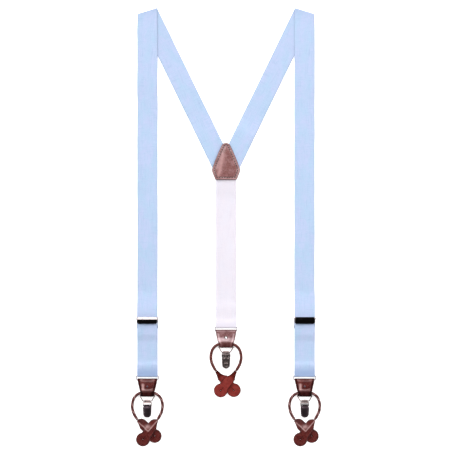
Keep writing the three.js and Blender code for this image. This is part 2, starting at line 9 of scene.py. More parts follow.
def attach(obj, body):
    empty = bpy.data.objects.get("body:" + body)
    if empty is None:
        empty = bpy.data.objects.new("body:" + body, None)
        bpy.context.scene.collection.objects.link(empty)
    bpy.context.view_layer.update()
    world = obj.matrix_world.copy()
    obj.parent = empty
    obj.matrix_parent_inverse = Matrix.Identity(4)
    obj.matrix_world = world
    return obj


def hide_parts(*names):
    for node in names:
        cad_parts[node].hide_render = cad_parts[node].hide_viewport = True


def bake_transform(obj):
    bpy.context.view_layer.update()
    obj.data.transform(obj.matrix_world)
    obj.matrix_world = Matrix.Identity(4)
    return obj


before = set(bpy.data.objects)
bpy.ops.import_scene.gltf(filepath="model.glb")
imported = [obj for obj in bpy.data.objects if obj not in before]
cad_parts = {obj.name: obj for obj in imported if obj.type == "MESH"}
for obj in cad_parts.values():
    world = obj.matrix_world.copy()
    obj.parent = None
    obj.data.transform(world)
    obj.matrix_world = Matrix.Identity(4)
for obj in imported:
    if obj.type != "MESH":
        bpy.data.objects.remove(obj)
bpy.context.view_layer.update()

# Convertible suspenders, face up. Lengths are in millimetres until make() turns
# them into metres, and y is counted from the lowest point of the front tabs.

RNG = np.random.default_rng(41)

LENGTH = 752.0
STRAP_WIDTH = 35.0
STRAP_T = 1.0
HALF = STRAP_WIDTH / 2
FRONT_X = 134.8           # middle of each front run
FOLD = math.radians(17)   # slope of the folded shoulder edge
BACK = math.radians(26)   # slope of the back runs
FOLD_EDGE = HALF / math.cos(BACK - FOLD)   # half the length of the folded edge
BARREL_Z = 1.3            # middle of the folded edge
FOLD_Y = LENGTH - HALF * math.tan(FOLD) - BARREL_Z / math.cos(FOLD)
BARREL_IN = 0.3           # inside radius of the fold
PATCH_Y = 472             # where the back runs end, under the crosspatch
RUN_END = 207.1           # where the front run ends and the adjusting loop begins
ADJUSTER_Z = 3.7          # inner face of the strap inside the adjuster
PIN_Y = 220.0             # the adjuster's pivot
TURN_R = 1.1              # inside radius of a strap's turn round its ring
UNDER_Z = 1.0             # inner face of a strap layer that comes back underneath
RING_Z = 2.1              # middle of the rings' wire
WIRE_R = 0.9
TUNNEL_Z = 4.1            # middle of the cord and the bail in the tab's tunnel
NECK_Z = 2.6              # middle of the cord where it joins a button tab
RIVET_Y = -13.5           # from the top of the leather tab
DISC_R = 11.9             # round end of a button tab
KEYHOLE_R = 0.3
BAIL_FOOT = -38.2         # the bail's lower bar, from the top of the leather tab
CLIP_PIN = -43.5          # the clip's pivot
GROOVE = 4.0              # from the crosspatch's edge to its stitches
FRONT_RING_Y = 120.7      # middle of each turn round a ring
REAR_RING_Y = 204.4
SIDES = {"left": -1, "right": 1}
# the middle and the top of the leather tab at each end
ENDS = {"left_front": (-FRONT_X, 116.0), "right_front": (FRONT_X, 116.0), "rear": (0.0, 199.7)}


def smooth(t):
    t = np.clip(t, 0, 1)
    return t * t * (3 - 2 * t)


def bell(t, width):
    return np.exp(-(t / width) ** 2)


def metres(points):
    out = np.array(points, float).reshape(-1, 3)
    out[:, 1] -= LENGTH / 2
    return out / 1000


def point(x, y, z):
    return metres([(x, y, z)])[0].tolist()


# ---- materials


class Nodes:
    """A node tree, added to one line at a time."""

    def __init__(self, tree):
        self.tree = tree

    def add(self, kind, inputs=None, **settings):
        node = self.tree.nodes.new("ShaderNode" + kind)
        for key, value in settings.items():
            setattr(node, key, value)
        for key, value in (inputs or {}).items():
            self.put(node.inputs[key], value)
        return node

    def put(self, socket, value):
        if isinstance(value, bpy.types.NodeSocket):
            self.tree.links.new(value, socket)
        elif hasattr(value, "__len__") and len(value) == 3 and socket.type == "RGBA":
            socket.default_value = (*value, 1)
        else:
            socket.default_value = value

    def math(self, operation, a, b=0.0):
        return self.add("Math", {0: a, 1: b}, operation=operation).outputs[0]

    def dot(self, vector, way):
        return self.add("VectorMath", {0: vector, 1: way}, operation="DOT_PRODUCT").outputs["Value"]

    def ramp(self, value, low, high, out_low=0.0, out_high=1.0):
        inputs = {0: value, 1: low, 2: high, 3: out_low, 4: out_high}
        return self.add("MapRange", inputs, interpolation_type="SMOOTHSTEP").outputs[0]

    def mix(self, factor, a, b):
        node = self.add("Mix", data_type="RGBA")
        self.put(node.inputs[0], factor)
        self.put(node.inputs[6], a)
        self.put(node.inputs[7], b)
        return node.outputs[2]

    def layers(self, colour, *over):
        """The colour with each (factor, colour) laid over it in turn."""
        for factor, upper in over:
            colour = self.mix(factor, colour, upper)
        return colour

    def noise(self, vector, scale, detail=3.0, stretch=(1, 1, 1)):
        spread = self.add("Mapping", {"Vector": vector, "Scale": stretch})
        inputs = {"Vector": spread.outputs[0], "Scale": scale, "Detail": detail}
        return self.add("TexNoise", inputs).outputs[0]

    def bump(self, height, distance, strength):
        inputs = {"Height": height, "Distance": distance, "Strength": strength}
        return self.add("Bump", inputs).outputs[0]


class Shader(Nodes):
    """A material and its Principled surface."""

    def __init__(self, name):
        self.material = bpy.data.materials.new(name)
        self.material.use_nodes = True
        super().__init__(self.material.node_tree)
        self.surface = self.tree.nodes["Principled BSDF"]

    def set(self, **inputs):
        for key, value in inputs.items():
            self.put(self.surface.inputs[key.replace("_", " ")], value)


def cloth(name, base, light, dark, edge, rib, tints):
    """Woven band. UV is millimetres across from the middle, and along. The "edge" attribute carries
    painted shade: how dark the cloth is drawn next to the shoulder fold and the rings, from 0 to 1."""
    s = Shader(name)
    uv = s.add("UVMap").outputs[0]
    axes = s.add("SeparateXYZ", {0: uv}).outputs
    warp = s.math("SINE", s.math("MULTIPLY", axes[0], 2 * math.pi / rib))
    weft = s.math("SINE", s.math("MULTIPLY", axes[1], 2 * math.pi / (rib * 0.8)))
    cross = s.math("MULTIPLY", warp, weft)
    height = s.add("Math", {0: cross, 1: 0.5, 2: 0.5}, operation="MULTIPLY_ADD").outputs[0]
    long_threads = s.noise(uv, 1.0, 2.0, (1.3, 0.035, 1))
    cross_threads = s.noise(uv, 1.0, 2.0, (0.045, 1.5, 1))
    cloudy = s.noise(uv, 0.16, 4.0)
    flecks = s.noise(uv, 1.1, 3.0)
    wide = s.noise(uv, 0.045, 3.0, (1.0, 0.5, 1))
    # the "edge" attribute here is painted shade next to the shoulder fold and the rings
    painted_fold_shade = s.add("Attribute", attribute_name="edge").outputs["Fac"]
    side = s.math("ABSOLUTE", axes[0])
    colour = s.layers(
        tints[0],
        (s.ramp(wide, 0.40, 0.60), tints[1]),
        (s.ramp(cloudy, 0.35, 0.65, 0.35, 0.9), base),
        (s.ramp(flecks, 0.5, 0.68, 0.0, 0.5), light),
        (s.ramp(long_threads, 0.3, 0.45, 0.35, 0.0), dark),
        (s.ramp(cross_threads, 0.3, 0.45, 0.3, 0.0), dark),
        (s.ramp(height, 0.0, 0.5, 0.3, 0.0), dark),
        (s.math("MULTIPLY", painted_fold_shade, 0.8), dark),
        (s.ramp(side, HALF - 1.3, HALF - 0.6, 0.0, 0.4), edge),
    )
    tuft = s.math("ADD", height, s.math("MULTIPLY", flecks, 0.8))
    s.set(Base_Color=colour, Roughness=s.ramp(flecks, 0.2, 0.8, 0.72, 0.92))
    s.set(Sheen_Weight=0.25, Sheen_Roughness=0.45, Specular_IOR_Level=0.25)
    s.set(Normal=s.bump(tuft, 0.00012, 0.7))
    return s.material


def hide(name, base, light, dark, rough=(0.3, 0.5), coat=0.25, grain=1.0, rim=0.9, groove=None,
         painted_highlight=(0.42, 0.24, 0.235)):
    """Leather. "edge" is the distance from the cut edge in millimetres, and the second attribute
    carries painted light: a painted highlight from 0 to 1, and painted shade from 0 to -1."""
    s = Shader(name)
    uv = s.add("UVMap").outputs[0]
    edge = s.add("Attribute", attribute_name="edge").outputs["Fac"]
    pores = s.add("TexVoronoi", {"Vector": uv, "Scale": 1.1 / grain}, feature="F1").outputs[0]
    folds = s.noise(uv, 0.5 / grain, 5.0)
    cloudy = s.noise(uv, 0.12, 4.0)
    wear_and_painted_light = s.noise(uv, 0.9, 4.0)
    colour = s.layers(
        base,
        (s.ramp(cloudy, 0.38, 0.62), light),
        (s.ramp(pores, 0.35, 0.75, 0.0, 0.45), dark),
        (s.ramp(wear_and_painted_light, 0.55, 0.72, 0.0, 0.4), light),
        (s.ramp(edge, rim * 0.35, rim, 0.85, 0.0), dark),
    )
    # painted shade: the stitched groove is drawn in the dark colour along its line
    if groove is not None:
        away = s.math("ABSOLUTE", s.math("SUBTRACT", edge, groove))
        colour = s.mix(s.ramp(away, 0.45, 1.0, 0.9, 0.0), colour, dark)
    # painted light: positive values lay the painted highlight colour over the leather, negative values
    # lay the dark colour as painted shade
    painted_light = s.add("Attribute", attribute_name="wear_and_painted_light").outputs["Fac"]
    colour = s.layers(colour, (painted_light, painted_highlight), (s.math("MULTIPLY", painted_light, -1.0), dark))
    texture = s.math("ADD", s.math("MULTIPLY", pores, -0.7), folds)
    s.set(Base_Color=colour, Roughness=s.ramp(folds, 0.3, 0.7, *rough))
    s.set(Coat_Weight=s.ramp(painted_light, -0.6, 0.0, 0.0, coat), Coat_Roughness=0.2)
    s.set(Specular_IOR_Level=s.ramp(painted_light, -0.6, 0.0, 0.04, 0.25))
    s.set(Normal=s.bump(texture, 0.00016, 0.6))
    return s.material


def metal(name, base, dark, rough):
    """Plated metal with fine scratches and duller patches."""
    s = Shader(name)
    vector = s.add("TexCoord").outputs["Object"]
    scratches = s.noise(vector, 900.0, 3.0, (0.12, 1.0, 1.0))
    patches = s.noise(vector, 160.0, 4.0)
    specks = s.noise(vector, 1600.0, 2.0)
    colour = s.mix(s.ramp(patches, 0.4, 0.7, 0.0, 0.4), base, dark)
    colour = s.mix(s.ramp(specks, 0.62, 0.75, 0.0, 0.5), colour, dark)
    s.set(Base_Color=colour, Metallic=1.0)
    s.set(Roughness=s.ramp(patches, 0.3, 0.75, rough, rough + 0.06))
    s.set(Normal=s.bump(scratches, 0.00001, 0.3))
    return s.material


def plaited(name, base, light, dark, stripe):
    """Rolled cord. UV is turns round the cord, and millimetres along."""
    s = Shader(name)
    uv = s.add("UVMap").outputs[0]
    axes = s.add("SeparateXYZ", {0: uv}).outputs
    turn = s.math("SUBTRACT", s.math("MULTIPLY", axes[0], 2.0), s.math("DIVIDE", axes[1], 13.0))
    wave = s.math("SINE", s.math("MULTIPLY", turn, 2 * math.pi))
    wear_and_painted_light = s.noise(uv, 1.0, 4.0, (3.0, 0.8, 1))
    fibres = s.noise(uv, 1.0, 3.0, (14.0, 0.35, 1))
    colour = s.mix(s.ramp(wear_and_painted_light, 0.35, 0.65), dark, base)
    strand = s.math("MULTIPLY", s.ramp(wave, 0.7, 1.0), stripe)
    colour = s.mix(strand, colour, light)
    colour = s.mix(s.ramp(fibres, 0.35, 0.5, 0.35, 0.0), colour, dark)
    height = s.math("ADD", s.math("MULTIPLY", wave, 0.5), fibres)
    s.set(Base_Color=colour, Roughness=s.ramp(wear_and_painted_light, 0.3, 0.7, 0.34, 0.55))
    s.set(Coat_Weight=0.05, Coat_Roughness=0.3, Specular_IOR_Level=0.2)
    s.set(Normal=s.bump(height, 0.0002, 0.6))
    return s.material


def grip(name):
    """Ribbed rubber."""
    s = Shader(name)
    vector = s.add("TexCoord").outputs["Object"]
    ribs = s.noise(vector, 700.0, 3.0)
    s.set(Base_Color=s.mix(ribs, (0.012, 0.012, 0.013), (0.04, 0.038, 0.038)))
    s.set(Roughness=s.ramp(ribs, 0.3, 0.7, 0.6, 0.85))
    s.set(Normal=s.bump(ribs, 0.0001, 0.6))
    return s.material


BLUE = cloth(
    "strap_weave", (0.335, 0.428, 0.585), (0.40, 0.475, 0.63), (0.20, 0.28, 0.45),
    (0.25, 0.31, 0.42), 0.75, ((0.385, 0.425, 0.61), (0.305, 0.445, 0.58)),
)
WHITE = cloth(
    "elastic_weave", (0.565, 0.548, 0.605), (0.60, 0.59, 0.635), (0.45, 0.43, 0.52),
    (0.50, 0.50, 0.56), 1.0, ((0.575, 0.54, 0.59), (0.55, 0.55, 0.615)),
)
PATCH = hide(
    "patch_hide", (0.175, 0.066, 0.060), (0.25, 0.120, 0.118), (0.018, 0.007, 0.009),
    (0.22, 0.36), 0.5, 1.0, 1.0, GROOVE,
)
REAR_TAB = hide(
    "rear_tab_hide", (0.125, 0.048, 0.048), (0.20, 0.095, 0.098), (0.040, 0.008, 0.006),
    (0.2, 0.32), 0.6, painted_highlight=(0.55, 0.40, 0.42),
)
TAB = hide(
    "tab_hide", (0.062, 0.009, 0.008), (0.105, 0.020, 0.017), (0.010, 0.002, 0.002),
    (0.20, 0.34), 0.15, painted_highlight=(0.44, 0.27, 0.26),
)
FLESH = hide(
    "flesh_hide", (0.152, 0.009, 0.006), (0.20, 0.020, 0.014), (0.022, 0.004, 0.003),
    (0.7, 0.9), 0.0, 0.6, painted_highlight=(0.25, 0.045, 0.035),
)
THREAD = hide("thread", (0.26, 0.16, 0.165), (0.50, 0.37, 0.37), (0.06, 0.03, 0.032), grain=0.4)
CORD = plaited("front_cord", (0.095, 0.020, 0.018), (0.40, 0.24, 0.23), (0.026, 0.006, 0.006), 0.7)
REAR_CORD = plaited("rear_cord", (0.115, 0.022, 0.017), (0.20, 0.07, 0.06), (0.030, 0.006, 0.005), 0.3)
NICKEL = metal("bright_nickel", (0.78, 0.75, 0.75), (0.50, 0.47, 0.47), 0.07)
RING = metal("ring_nickel", (0.46, 0.43, 0.45), (0.26, 0.23, 0.25), 0.14)
STEEL = metal("worn_steel", (0.25, 0.20, 0.195), (0.09, 0.065, 0.065), 0.26)
COVER = metal("cover_plate", (0.60, 0.53, 0.54), (0.12, 0.08, 0.08), 0.03)
CHROME = metal("dark_chrome_plate", (0.085, 0.062, 0.073), (0.045, 0.03, 0.036), 0.30)
RUBBER = grip("grip_pad")

for node_name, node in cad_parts.items():
    finish = NICKEL
    if node_name.startswith("clip_pad"):
        finish = RUBBER
    for material_slot in node.material_slots:
        material_slot.material = finish


# ---- meshes


def make(name, verts, faces, material, uv, edge=None, sharp=50.0, wear_and_painted_light=None):
    """A smooth-shaded mesh. uv is one pair per vertex, or one per face corner."""
    mesh = bpy.data.meshes.new(name)
    mesh.from_pydata(metres(verts).tolist(), [], [list(map(int, f)) for f in faces])
    corners = np.zeros(len(mesh.loops), int)
    mesh.loops.foreach_get("vertex_index", corners)
    uv = np.array(uv, float)
    if len(uv) == len(mesh.vertices):
        uv = uv[corners]
    mesh.uv_layers.new(name="UVMap").data.foreach_set("uv", uv.astype(np.float32).ravel())
    values = np.full(len(mesh.vertices), 9.0) if edge is None else np.array(edge, float)
    attribute = mesh.attributes.new("edge", "FLOAT", "POINT")
    attribute.data.foreach_set("value", values.astype(np.float32))
    # the second attribute carries painted highlight and painted shade for the leather
    if wear_and_painted_light is not None:
        attribute = mesh.attributes.new("wear_and_painted_light", "FLOAT", "POINT")
        attribute.data.foreach_set("value", np.array(wear_and_painted_light, np.float32))
    shape = bmesh.new()
    shape.from_mesh(mesh)
    bmesh.ops.recalc_face_normals(shape, faces=shape.faces)
    shape.to_mesh(mesh)
    shape.free()
    mesh.shade_smooth()
    mesh.set_sharp_from_angle(angle=math.radians(sharp))
    mesh.materials.append(material)
    thing = bpy.data.objects.new(name, mesh)
    bpy.context.scene.collection.objects.link(thing)
    return thing


def place(piece, slot_name, body, *replaced):
    """Hides the CAD nodes a piece stands for and attaches it to the body it rides; slot_name is not
    used.
    """
    if replaced:
        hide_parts(*replaced)
    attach(piece, body)


def join_parts(parts):
    """Several (verts, faces, uv per vertex) as one."""
    verts, faces, uv, start = [], [], [], 0
    for part_verts, part_faces, part_uv in parts:
        verts.append(np.array(part_verts, float))
        uv.append(np.array(part_uv, float))
        faces.extend([[i + start for i in f] for f in part_faces])
        start += len(part_verts)
    return np.concatenate(verts), faces, np.concatenate(uv)


def ring_faces(count, size, closed):
    """The quads between rings of points: each one's ring, place in it, next ring and corners."""
    for i in range(count if closed else count - 1):
        j = (i + 1) % count
        for k in range(size):
            m = (k + 1) % size
            yield i, k, j, (i * size + k, i * size + m, j * size + m, j * size + k)


def loft(rings, along, closed=False):
    """Quads between rings of points, with flat ends. UV is the share round, and along."""
    count, size = rings.shape[:2]
    verts = rings.reshape(-1, 3)
    faces, uv = [], []
    step = abs(along[1] - along[0])
    for i, k, j, face in ring_faces(count, size, closed):
        high = along[j] if j else along[i] + step
        left, right = k / size, (k + 1) / size
        faces.append(face)
        uv.extend([(left, along[i]), (right, along[i]), (right, high), (left, high)])
    if not closed:
        for i in (0, count - 1):
            faces.append([i * size + k for k in range(size)])
            uv.extend([(k / size, along[i]) for k in range(size)])
    return verts, faces, uv


def plan_uv(part):
    """The same part with each vertex's X and Y as its UV."""
    return part[0], part[1], part[0][:, :2]


def rod(half, y, z, radius, sides):
    """A round bar along X."""
    line = np.array([(x, y, z) for x in np.linspace(-half, half, 9)])
    rings, along = tube_rings(line, radius, sides)
    return loft(rings, along)


def spline(points, step=1.0, closed=False):
    """A smooth line through the points, resampled at about that step."""
    p = np.array(points, float)
    line = []
    count = len(p) if closed else len(p) - 1
    for i in range(count):
        if closed:
            a, b, c, d = (p[(i + k) % len(p)] for k in (-1, 0, 1, 2))
        else:
            b, c = p[i], p[i + 1]
            a = p[i - 1] if i else 2 * b - c
            d = p[i + 2] if i + 2 < len(p) else 2 * c - b
        for t in np.linspace(0, 1, 12, endpoint=False):
            line.append(
                0.5 * ((2 * b) + (c - a) * t + (2 * a - 5 * b + 4 * c - d) * t * t
                       + (3 * b - a - 3 * c + d) * t ** 3)
            )
    line.append(p[0] if closed else p[-1])
    return resample(np.array(line), step, closed)


def resample(line, step, closed=False):
    gaps = np.linalg.norm(np.diff(line, axis=0), axis=1)
    at = np.concatenate([[0], np.cumsum(gaps)])
    count = max(3, int(round(at[-1] / step)))
    stops = np.linspace(0, at[-1], count + 1)
    if closed:
        stops = stops[:-1]
    return np.stack([np.interp(stops, at, line[:, k]) for k in range(3)], axis=1)


def tube_rings(line, radius, sides=16, closed=False, swell=None):
    """Rings of points round a line that never points straight up."""
    ahead = np.roll(line, -1, 0) - np.roll(line, 1, 0)
    if not closed:
        ahead[0] = line[1] - line[0]
        ahead[-1] = line[-1] - line[-2]
    ahead /= np.linalg.norm(ahead, axis=1)[:, None]
    side = np.cross(ahead, (0, 0, 1.0))
    side /= np.linalg.norm(side, axis=1)[:, None]
    up = np.cross(side, ahead)
    gaps = np.linalg.norm(np.diff(line, axis=0), axis=1)
    along = np.concatenate([[0], np.cumsum(gaps)])
    turn = np.linspace(0, 2 * math.pi, sides, endpoint=False)
    rings = np.zeros((len(line), sides, 3))
    for k, angle in enumerate(turn):
        r = radius * (np.ones(len(line)) if swell is None else swell(along, angle))
        rings[:, k] = line + (side * math.cos(angle) + up * math.sin(angle)) * r[:, None]
    return rings, along


def wire_loop(corners, z, bend, step=0.8):
    """A closed wire line with rounded corners."""
    line = []
    count = len(corners)
    for i, corner in enumerate(corners):
        here = np.array(corner, float)
        before = np.array(corners[i - 1], float) - here
        after = np.array(corners[(i + 1) % count], float) - here
        before /= np.linalg.norm(before)
        after /= np.linalg.norm(after)
        reach = bend / math.tan(math.acos(float(before @ after)) / 2)
        start, end = here + before * reach, here + after * reach
        for t in np.linspace(0, 1, 9):
            flat = (1 - t) ** 2 * start + 2 * t * (1 - t) * here + t * t * end
            line.append((*flat, z))
    line.append(line[0])
    return resample(np.array(line), step, closed=True)


COLUMNS = np.linspace(-1, 1, 15)


def band(centres, normals, across, halves, thick, columns=COLUMNS, extra=None, closed=False):
    """A strap or strip of leather along a line on its inner face. Returns verts, faces, uv,
    and each vertex's distance from the edge. across is the direction of one millimetre of width."""
    count = len(centres)
    across = np.broadcast_to(np.array(across, float), (count, 3))
    halves = np.broadcast_to(np.array(halves, float), (count,))
    rim = min(0.5, thick * 0.45)
    shape = [(a, -np.sign(a) * rim * abs(a), 1.0) for a in columns]
    outer = shape + [(1, -0.12 * rim, 0.8), (1, 0.0, 0.5), (1, -0.12 * rim, 0.2)]
    inner = [(a, b, 0.0) for a, b, _ in reversed(shape)]
    ring = outer + inner + [(-1, 0.12 * rim, 0.2), (-1, 0.0, 0.5), (-1, 0.12 * rim, 0.8)]
    gaps = np.linalg.norm(np.diff(centres, axis=0), axis=1)
    along = np.concatenate([[0], np.cumsum(gaps)])
    verts, uv, edge = [], [], []
    for i in range(count):
        for a, b, h in ring:
            u = a * halves[i] + b
            lift = thick * h
            if extra is not None and h > 0.5:
                lift += extra(u, halves[i], i)
            verts.append(centres[i] + across[i] * u + normals[i] * lift)
            uv.append((u, along[i]))
            edge.append(halves[i] - abs(u))
    size = len(ring)
    faces = [face for *_, face in ring_faces(count, size, closed)]
    if not closed:
        faces.append(list(range(size)))
        faces.append([(count - 1) * size + k for k in range(size)])
    return np.array(verts), faces, np.array(uv), np.array(edge)


def side_line(stops, step=2.0):
    """(y, z) stops as a dense line in the plane x = 0, with softened corners."""
    line = []
    for (y0, z0), (y1, z1) in zip(stops, stops[1:]):
        count = max(1, int(abs(y1 - y0) / step))
        for t in np.linspace(0, 1, count, endpoint=False):
            line.append((0, y0 + (y1 - y0) * t, z0 + (z1 - z0) * float(smooth(t))))
    line.append((0, *stops[-1]))
    return np.array(line, float)


def arc(y, z, radius, start, end, steps=9):
    """Points round a bar, at angles in degrees, from straight up towards -Y."""
    turns = np.radians(np.linspace(start, end, steps))
    points = [(0, y - radius * math.sin(t), z + radius * math.cos(t)) for t in turns]
    return np.array(points), turns


def arc_normals(turns):
    return [(0, -math.sin(t), math.cos(t)) for t in turns]


def line_length(line):
    return float(np.linalg.norm(np.diff(line, axis=0), axis=1).sum())


def outward(line):
    """Unit normals in the YZ plane, to the left of a line running towards -Y."""
    ahead = np.gradient(line, axis=0)
    normal = np.stack([np.zeros(len(line)), ahead[:, 2], -ahead[:, 1]], axis=1)
    return normal / np.linalg.norm(normal, axis=1)[:, None]


def distance_to(points, loops):
    """Distance from each point to the nearest side of any loop."""
    best = np.full(len(points), 1e9)
    for loop in loops:
        a = np.array(loop, float)
        b = np.roll(a, -1, 0)
        d = b - a
        length2 = np.maximum((d ** 2).sum(1), 1e-12)
        t = ((points[:, None] - a[None]) * d[None]).sum(2) / length2
        near = a[None] + np.clip(t, 0, 1)[..., None] * d[None]
        best = np.minimum(best, np.linalg.norm(points[:, None] - near, axis=2).min(1))
    return best


def inside(points, loop):
    a = np.array(loop, float)
    b = np.roll(a, -1, 0)
    x, y = points[:, 0][:, None], points[:, 1][:, None]
    with np.errstate(divide="ignore", invalid="ignore"):
        cross = (b[:, 0] - a[:, 0]) * (y - a[:, 1]) / (b[:, 1] - a[:, 1]) + a[:, 0]
    crossing = ((a[:, 1] > y) != (b[:, 1] > y)) & (x < cross)
    return crossing.sum(1) % 2 == 1


def dense(loop, step):
    """A closed loop's points, no further apart than the step."""
    out = []
    for i, p in enumerate(loop):
        q = loop[(i + 1) % len(loop)]
        count = max(1, int(math.ceil(math.dist(p, q) / step)))
        for t in np.linspace(0, 1, count, endpoint=False):
            out.append((p[0] + (q[0] - p[0]) * t, p[1] + (q[1] - p[1]) * t))
    return out


def slab(outline, holes, middle, thick, top=0.0, step=0.9, rim=0.4, under=0.0):
    """A flat piece with rounded edges. middle and thick are heights, or functions of x, y and
    the distance from the edge. top and under are added to the upper and lower faces."""
    loops = [dense(outline, step)] + [dense(hole, step * 0.6) for hole in holes]
    border = np.array([p for loop in loops for p in loop])
    extra = [border]
    for loop in loops:
        a = np.array(loop)
        ahead = np.roll(a, -1, 0) - np.roll(a, 1, 0)
        normal = np.stack([-ahead[:, 1], ahead[:, 0]], 1)
        normal /= np.linalg.norm(normal, axis=1)[:, None]
        for share in (0.12, 0.4, 1.0):
            for way in (-1, 1):
                extra.append(a + normal * way * rim * share)
    x0, y0 = border.min(0)
    x1, y1 = border.max(0)
    grid = np.array([(x, y) for x in np.arange(x0, x1, step) for y in np.arange(y0, y1, step)])
    grid += RNG.uniform(-0.12, 0.12, grid.shape) * step
    near = distance_to(grid, loops)
    extra.append(grid[near > rim + 0.3 * step])
    inner = np.concatenate(extra[1:])

    def solid(spots):
        found = inside(spots, loops[0])
        for hole in loops[1:]:
            found &= ~inside(spots, hole)
        return found

    keep = solid(inner) & (distance_to(inner, loops) > rim * 0.1)
    points = np.concatenate([border, inner[keep]])
    sides = []
    start = 0
    for loop in loops:
        sides += [(start + i, start + (i + 1) % len(loop)) for i in range(len(loop))]
        start += len(loop)
    made = geometry.delaunay_2d_cdt([Vector(p) for p in points], sides, [], 1, 1e-5)
    flat = np.array([tuple(v) for v in made[0]])
    triangles = [tuple(f) for f in made[2]]
    filled = solid(flat[np.array(triangles)].mean(1))
    triangles = [f for f, keep_it in zip(triangles, filled) if keep_it]
    edge = distance_to(flat, loops)
    on_edge = edge < 1e-4
    x, y = flat[:, 0], flat[:, 1]
    mid, full, up, down = (
        value(x, y, edge) if callable(value) else np.full(len(flat), float(value))
        for value in (middle, thick, top, under)
    )
    reach = np.clip(edge / rim, 0, 1)
    half = full / 2 * np.sqrt(np.clip(1 - (1 - reach) ** 2, 0, 1))
    high = np.stack([x, y, mid + half + up * reach], 1)
    low = np.stack([x, y, mid - half + down * reach], 1)
    low_index = np.zeros(len(flat), int)
    low_index[on_edge] = np.nonzero(on_edge)[0]
    low_index[~on_edge] = len(flat) + np.arange((~on_edge).sum())
    verts = np.concatenate([high, low[~on_edge]])
    faces = triangles + [tuple(low_index[i] for i in reversed(f)) for f in triangles]
    faces = [f for f in faces if len(set(f)) == 3]
    uv = np.concatenate([flat, flat[~on_edge] + 40.0])
    return verts, faces, uv, np.concatenate([edge, edge[~on_edge]])


def circle(x, y, r, steps=20):
    turns = np.linspace(0, 2 * math.pi, steps, endpoint=False)
    return [(x + r * math.cos(a), y + r * math.sin(a)) for a in turns]


def lathe(profile, x, y, sides=36):
    """A turned piece about a vertical line: (radius, z) from the bottom to the top."""
    rings = np.zeros((len(profile), sides, 3))
    for i, (r, z) in enumerate(profile):
        for k in range(sides):
            angle = 2 * math.pi * k / sides
            rings[i, k] = (x + max(r, 0.02) * math.cos(angle), y + max(r, 0.02) * math.sin(angle), z)
    return loft(rings, np.arange(len(profile)) * 1.0)


def box_part(x0, x1, y0, y1, z0, z1, bevel=0.25):
    """A block with bevelled edges, as (verts, faces, uv)."""
    shape = bmesh.new()
    bmesh.ops.create_cube(shape, size=1.0)
    for v in shape.verts:
        v.co = Vector((
            x0 + (v.co.x + 0.5) * (x1 - x0),
            y0 + (v.co.y + 0.5) * (y1 - y0),
            z0 + (v.co.z + 0.5) * (z1 - z0),
        ))
    bmesh.ops.bevel(
        shape, geom=shape.edges[:], offset=bevel, segments=2, affect="EDGES", profile=0.5
    )
    shape.verts.ensure_lookup_table()
    verts = np.array([tuple(v.co) for v in shape.verts])
    faces = [[v.index for v in f.verts] for f in shape.faces]
    shape.free()
    return verts, faces, verts[:, :2]


def curve_points(start, bend, end, steps=10):
    a, b, c = np.array(start, float), np.array(bend, float), np.array(end, float)
    ts = np.linspace(0, 1, steps)[1:, None]
    return [tuple(p) for p in (1 - ts) ** 2 * a + 2 * ts * (1 - ts) * b + ts * ts * c]


# ---- camera, light

CAMERA_HEIGHT = 1.6
LENS = 74.2
camera_data = bpy.data.cameras.new("camera")
camera_data.lens = LENS
camera_data.sensor_width = 36.0
camera = bpy.data.objects.new("camera", camera_data)
camera.location = (0.0, 0.0014, CAMERA_HEIGHT)
bpy.context.scene.collection.objects.link(camera)
bpy.context.scene.camera = camera
bpy.context.scene.view_settings.view_transform = "Standard"
bpy.context.scene.view_settings.look = "None"


def light_panel(name, position, size, energy, colour):
    data = bpy.data.lights.new(name, "AREA")
    data.shape = "SQUARE"
    data.size = size
    data.energy = energy
    data.color = colour
    lamp = bpy.data.objects.new(name, data)
    lamp.location = position
    lamp.rotation_euler = (-Vector(position)).to_track_quat("-Z", "Y").to_euler()
    bpy.context.scene.collection.objects.link(lamp)


light_panel("key", (-0.3, 0.8, 1.5), 0.8, 12.0, (1.0, 0.95, 0.95))
light_panel("side", (1.1, 0.1, 1.3), 0.4, 7.0, (1.0, 0.95, 0.92))

world = bpy.data.worlds.new("studio")
bpy.context.scene.world = world
world.use_nodes = True
sky = Nodes(world.node_tree)
direction = sky.add("TexCoord").outputs["Generated"]
above = sky.add("SeparateXYZ", {0: direction}).outputs[2]
dark_zenith = sky.ramp(above, 0.76, 0.90, 1.0, 0.004)
softbox = sky.ramp(sky.dot(direction, (-0.12, 0.22, 0.968)), 0.986, 0.994, 0.0, 1.3)
bright = sky.math("MULTIPLY", sky.math("MAXIMUM", dark_zenith, softbox), 1.62)
slant = sky.math("ADD", sky.dot(direction, (-0.28, 0.75, 0.0)), 1.0)
background = world.node_tree.nodes["Background"]
sky.put(background.inputs["Strength"], sky.math("MULTIPLY", bright, slant))
sky.put(background.inputs["Color"], (1.0, 0.995, 0.995))

floor_mesh = bpy.data.meshes.new("floor")
FLOOR_REACH = 60.0
FLOOR_Z = -0.0004
corners = [(-1, -1), (1, -1), (1, 1), (-1, 1)]
floor_mesh.from_pydata(
    [(x * FLOOR_REACH, y * FLOOR_REACH, FLOOR_Z) for x, y in corners], [], [(0, 1, 2, 3)]
)
floor = bpy.data.objects.new("floor", floor_mesh)
bpy.context.scene.collection.objects.link(floor)
floor_look = Shader("floor")
floor_look.set(Base_Color=(0.93, 0.93, 0.93), Roughness=0.9, Specular_IOR_Level=0.1)
floor_look.set(Emission_Color=(1.0, 1.0, 1.0), Emission_Strength=0.5)
floor_mesh.materials.append(floor_look.material)


# ---- cord and tabs

CORD_R = 2.5
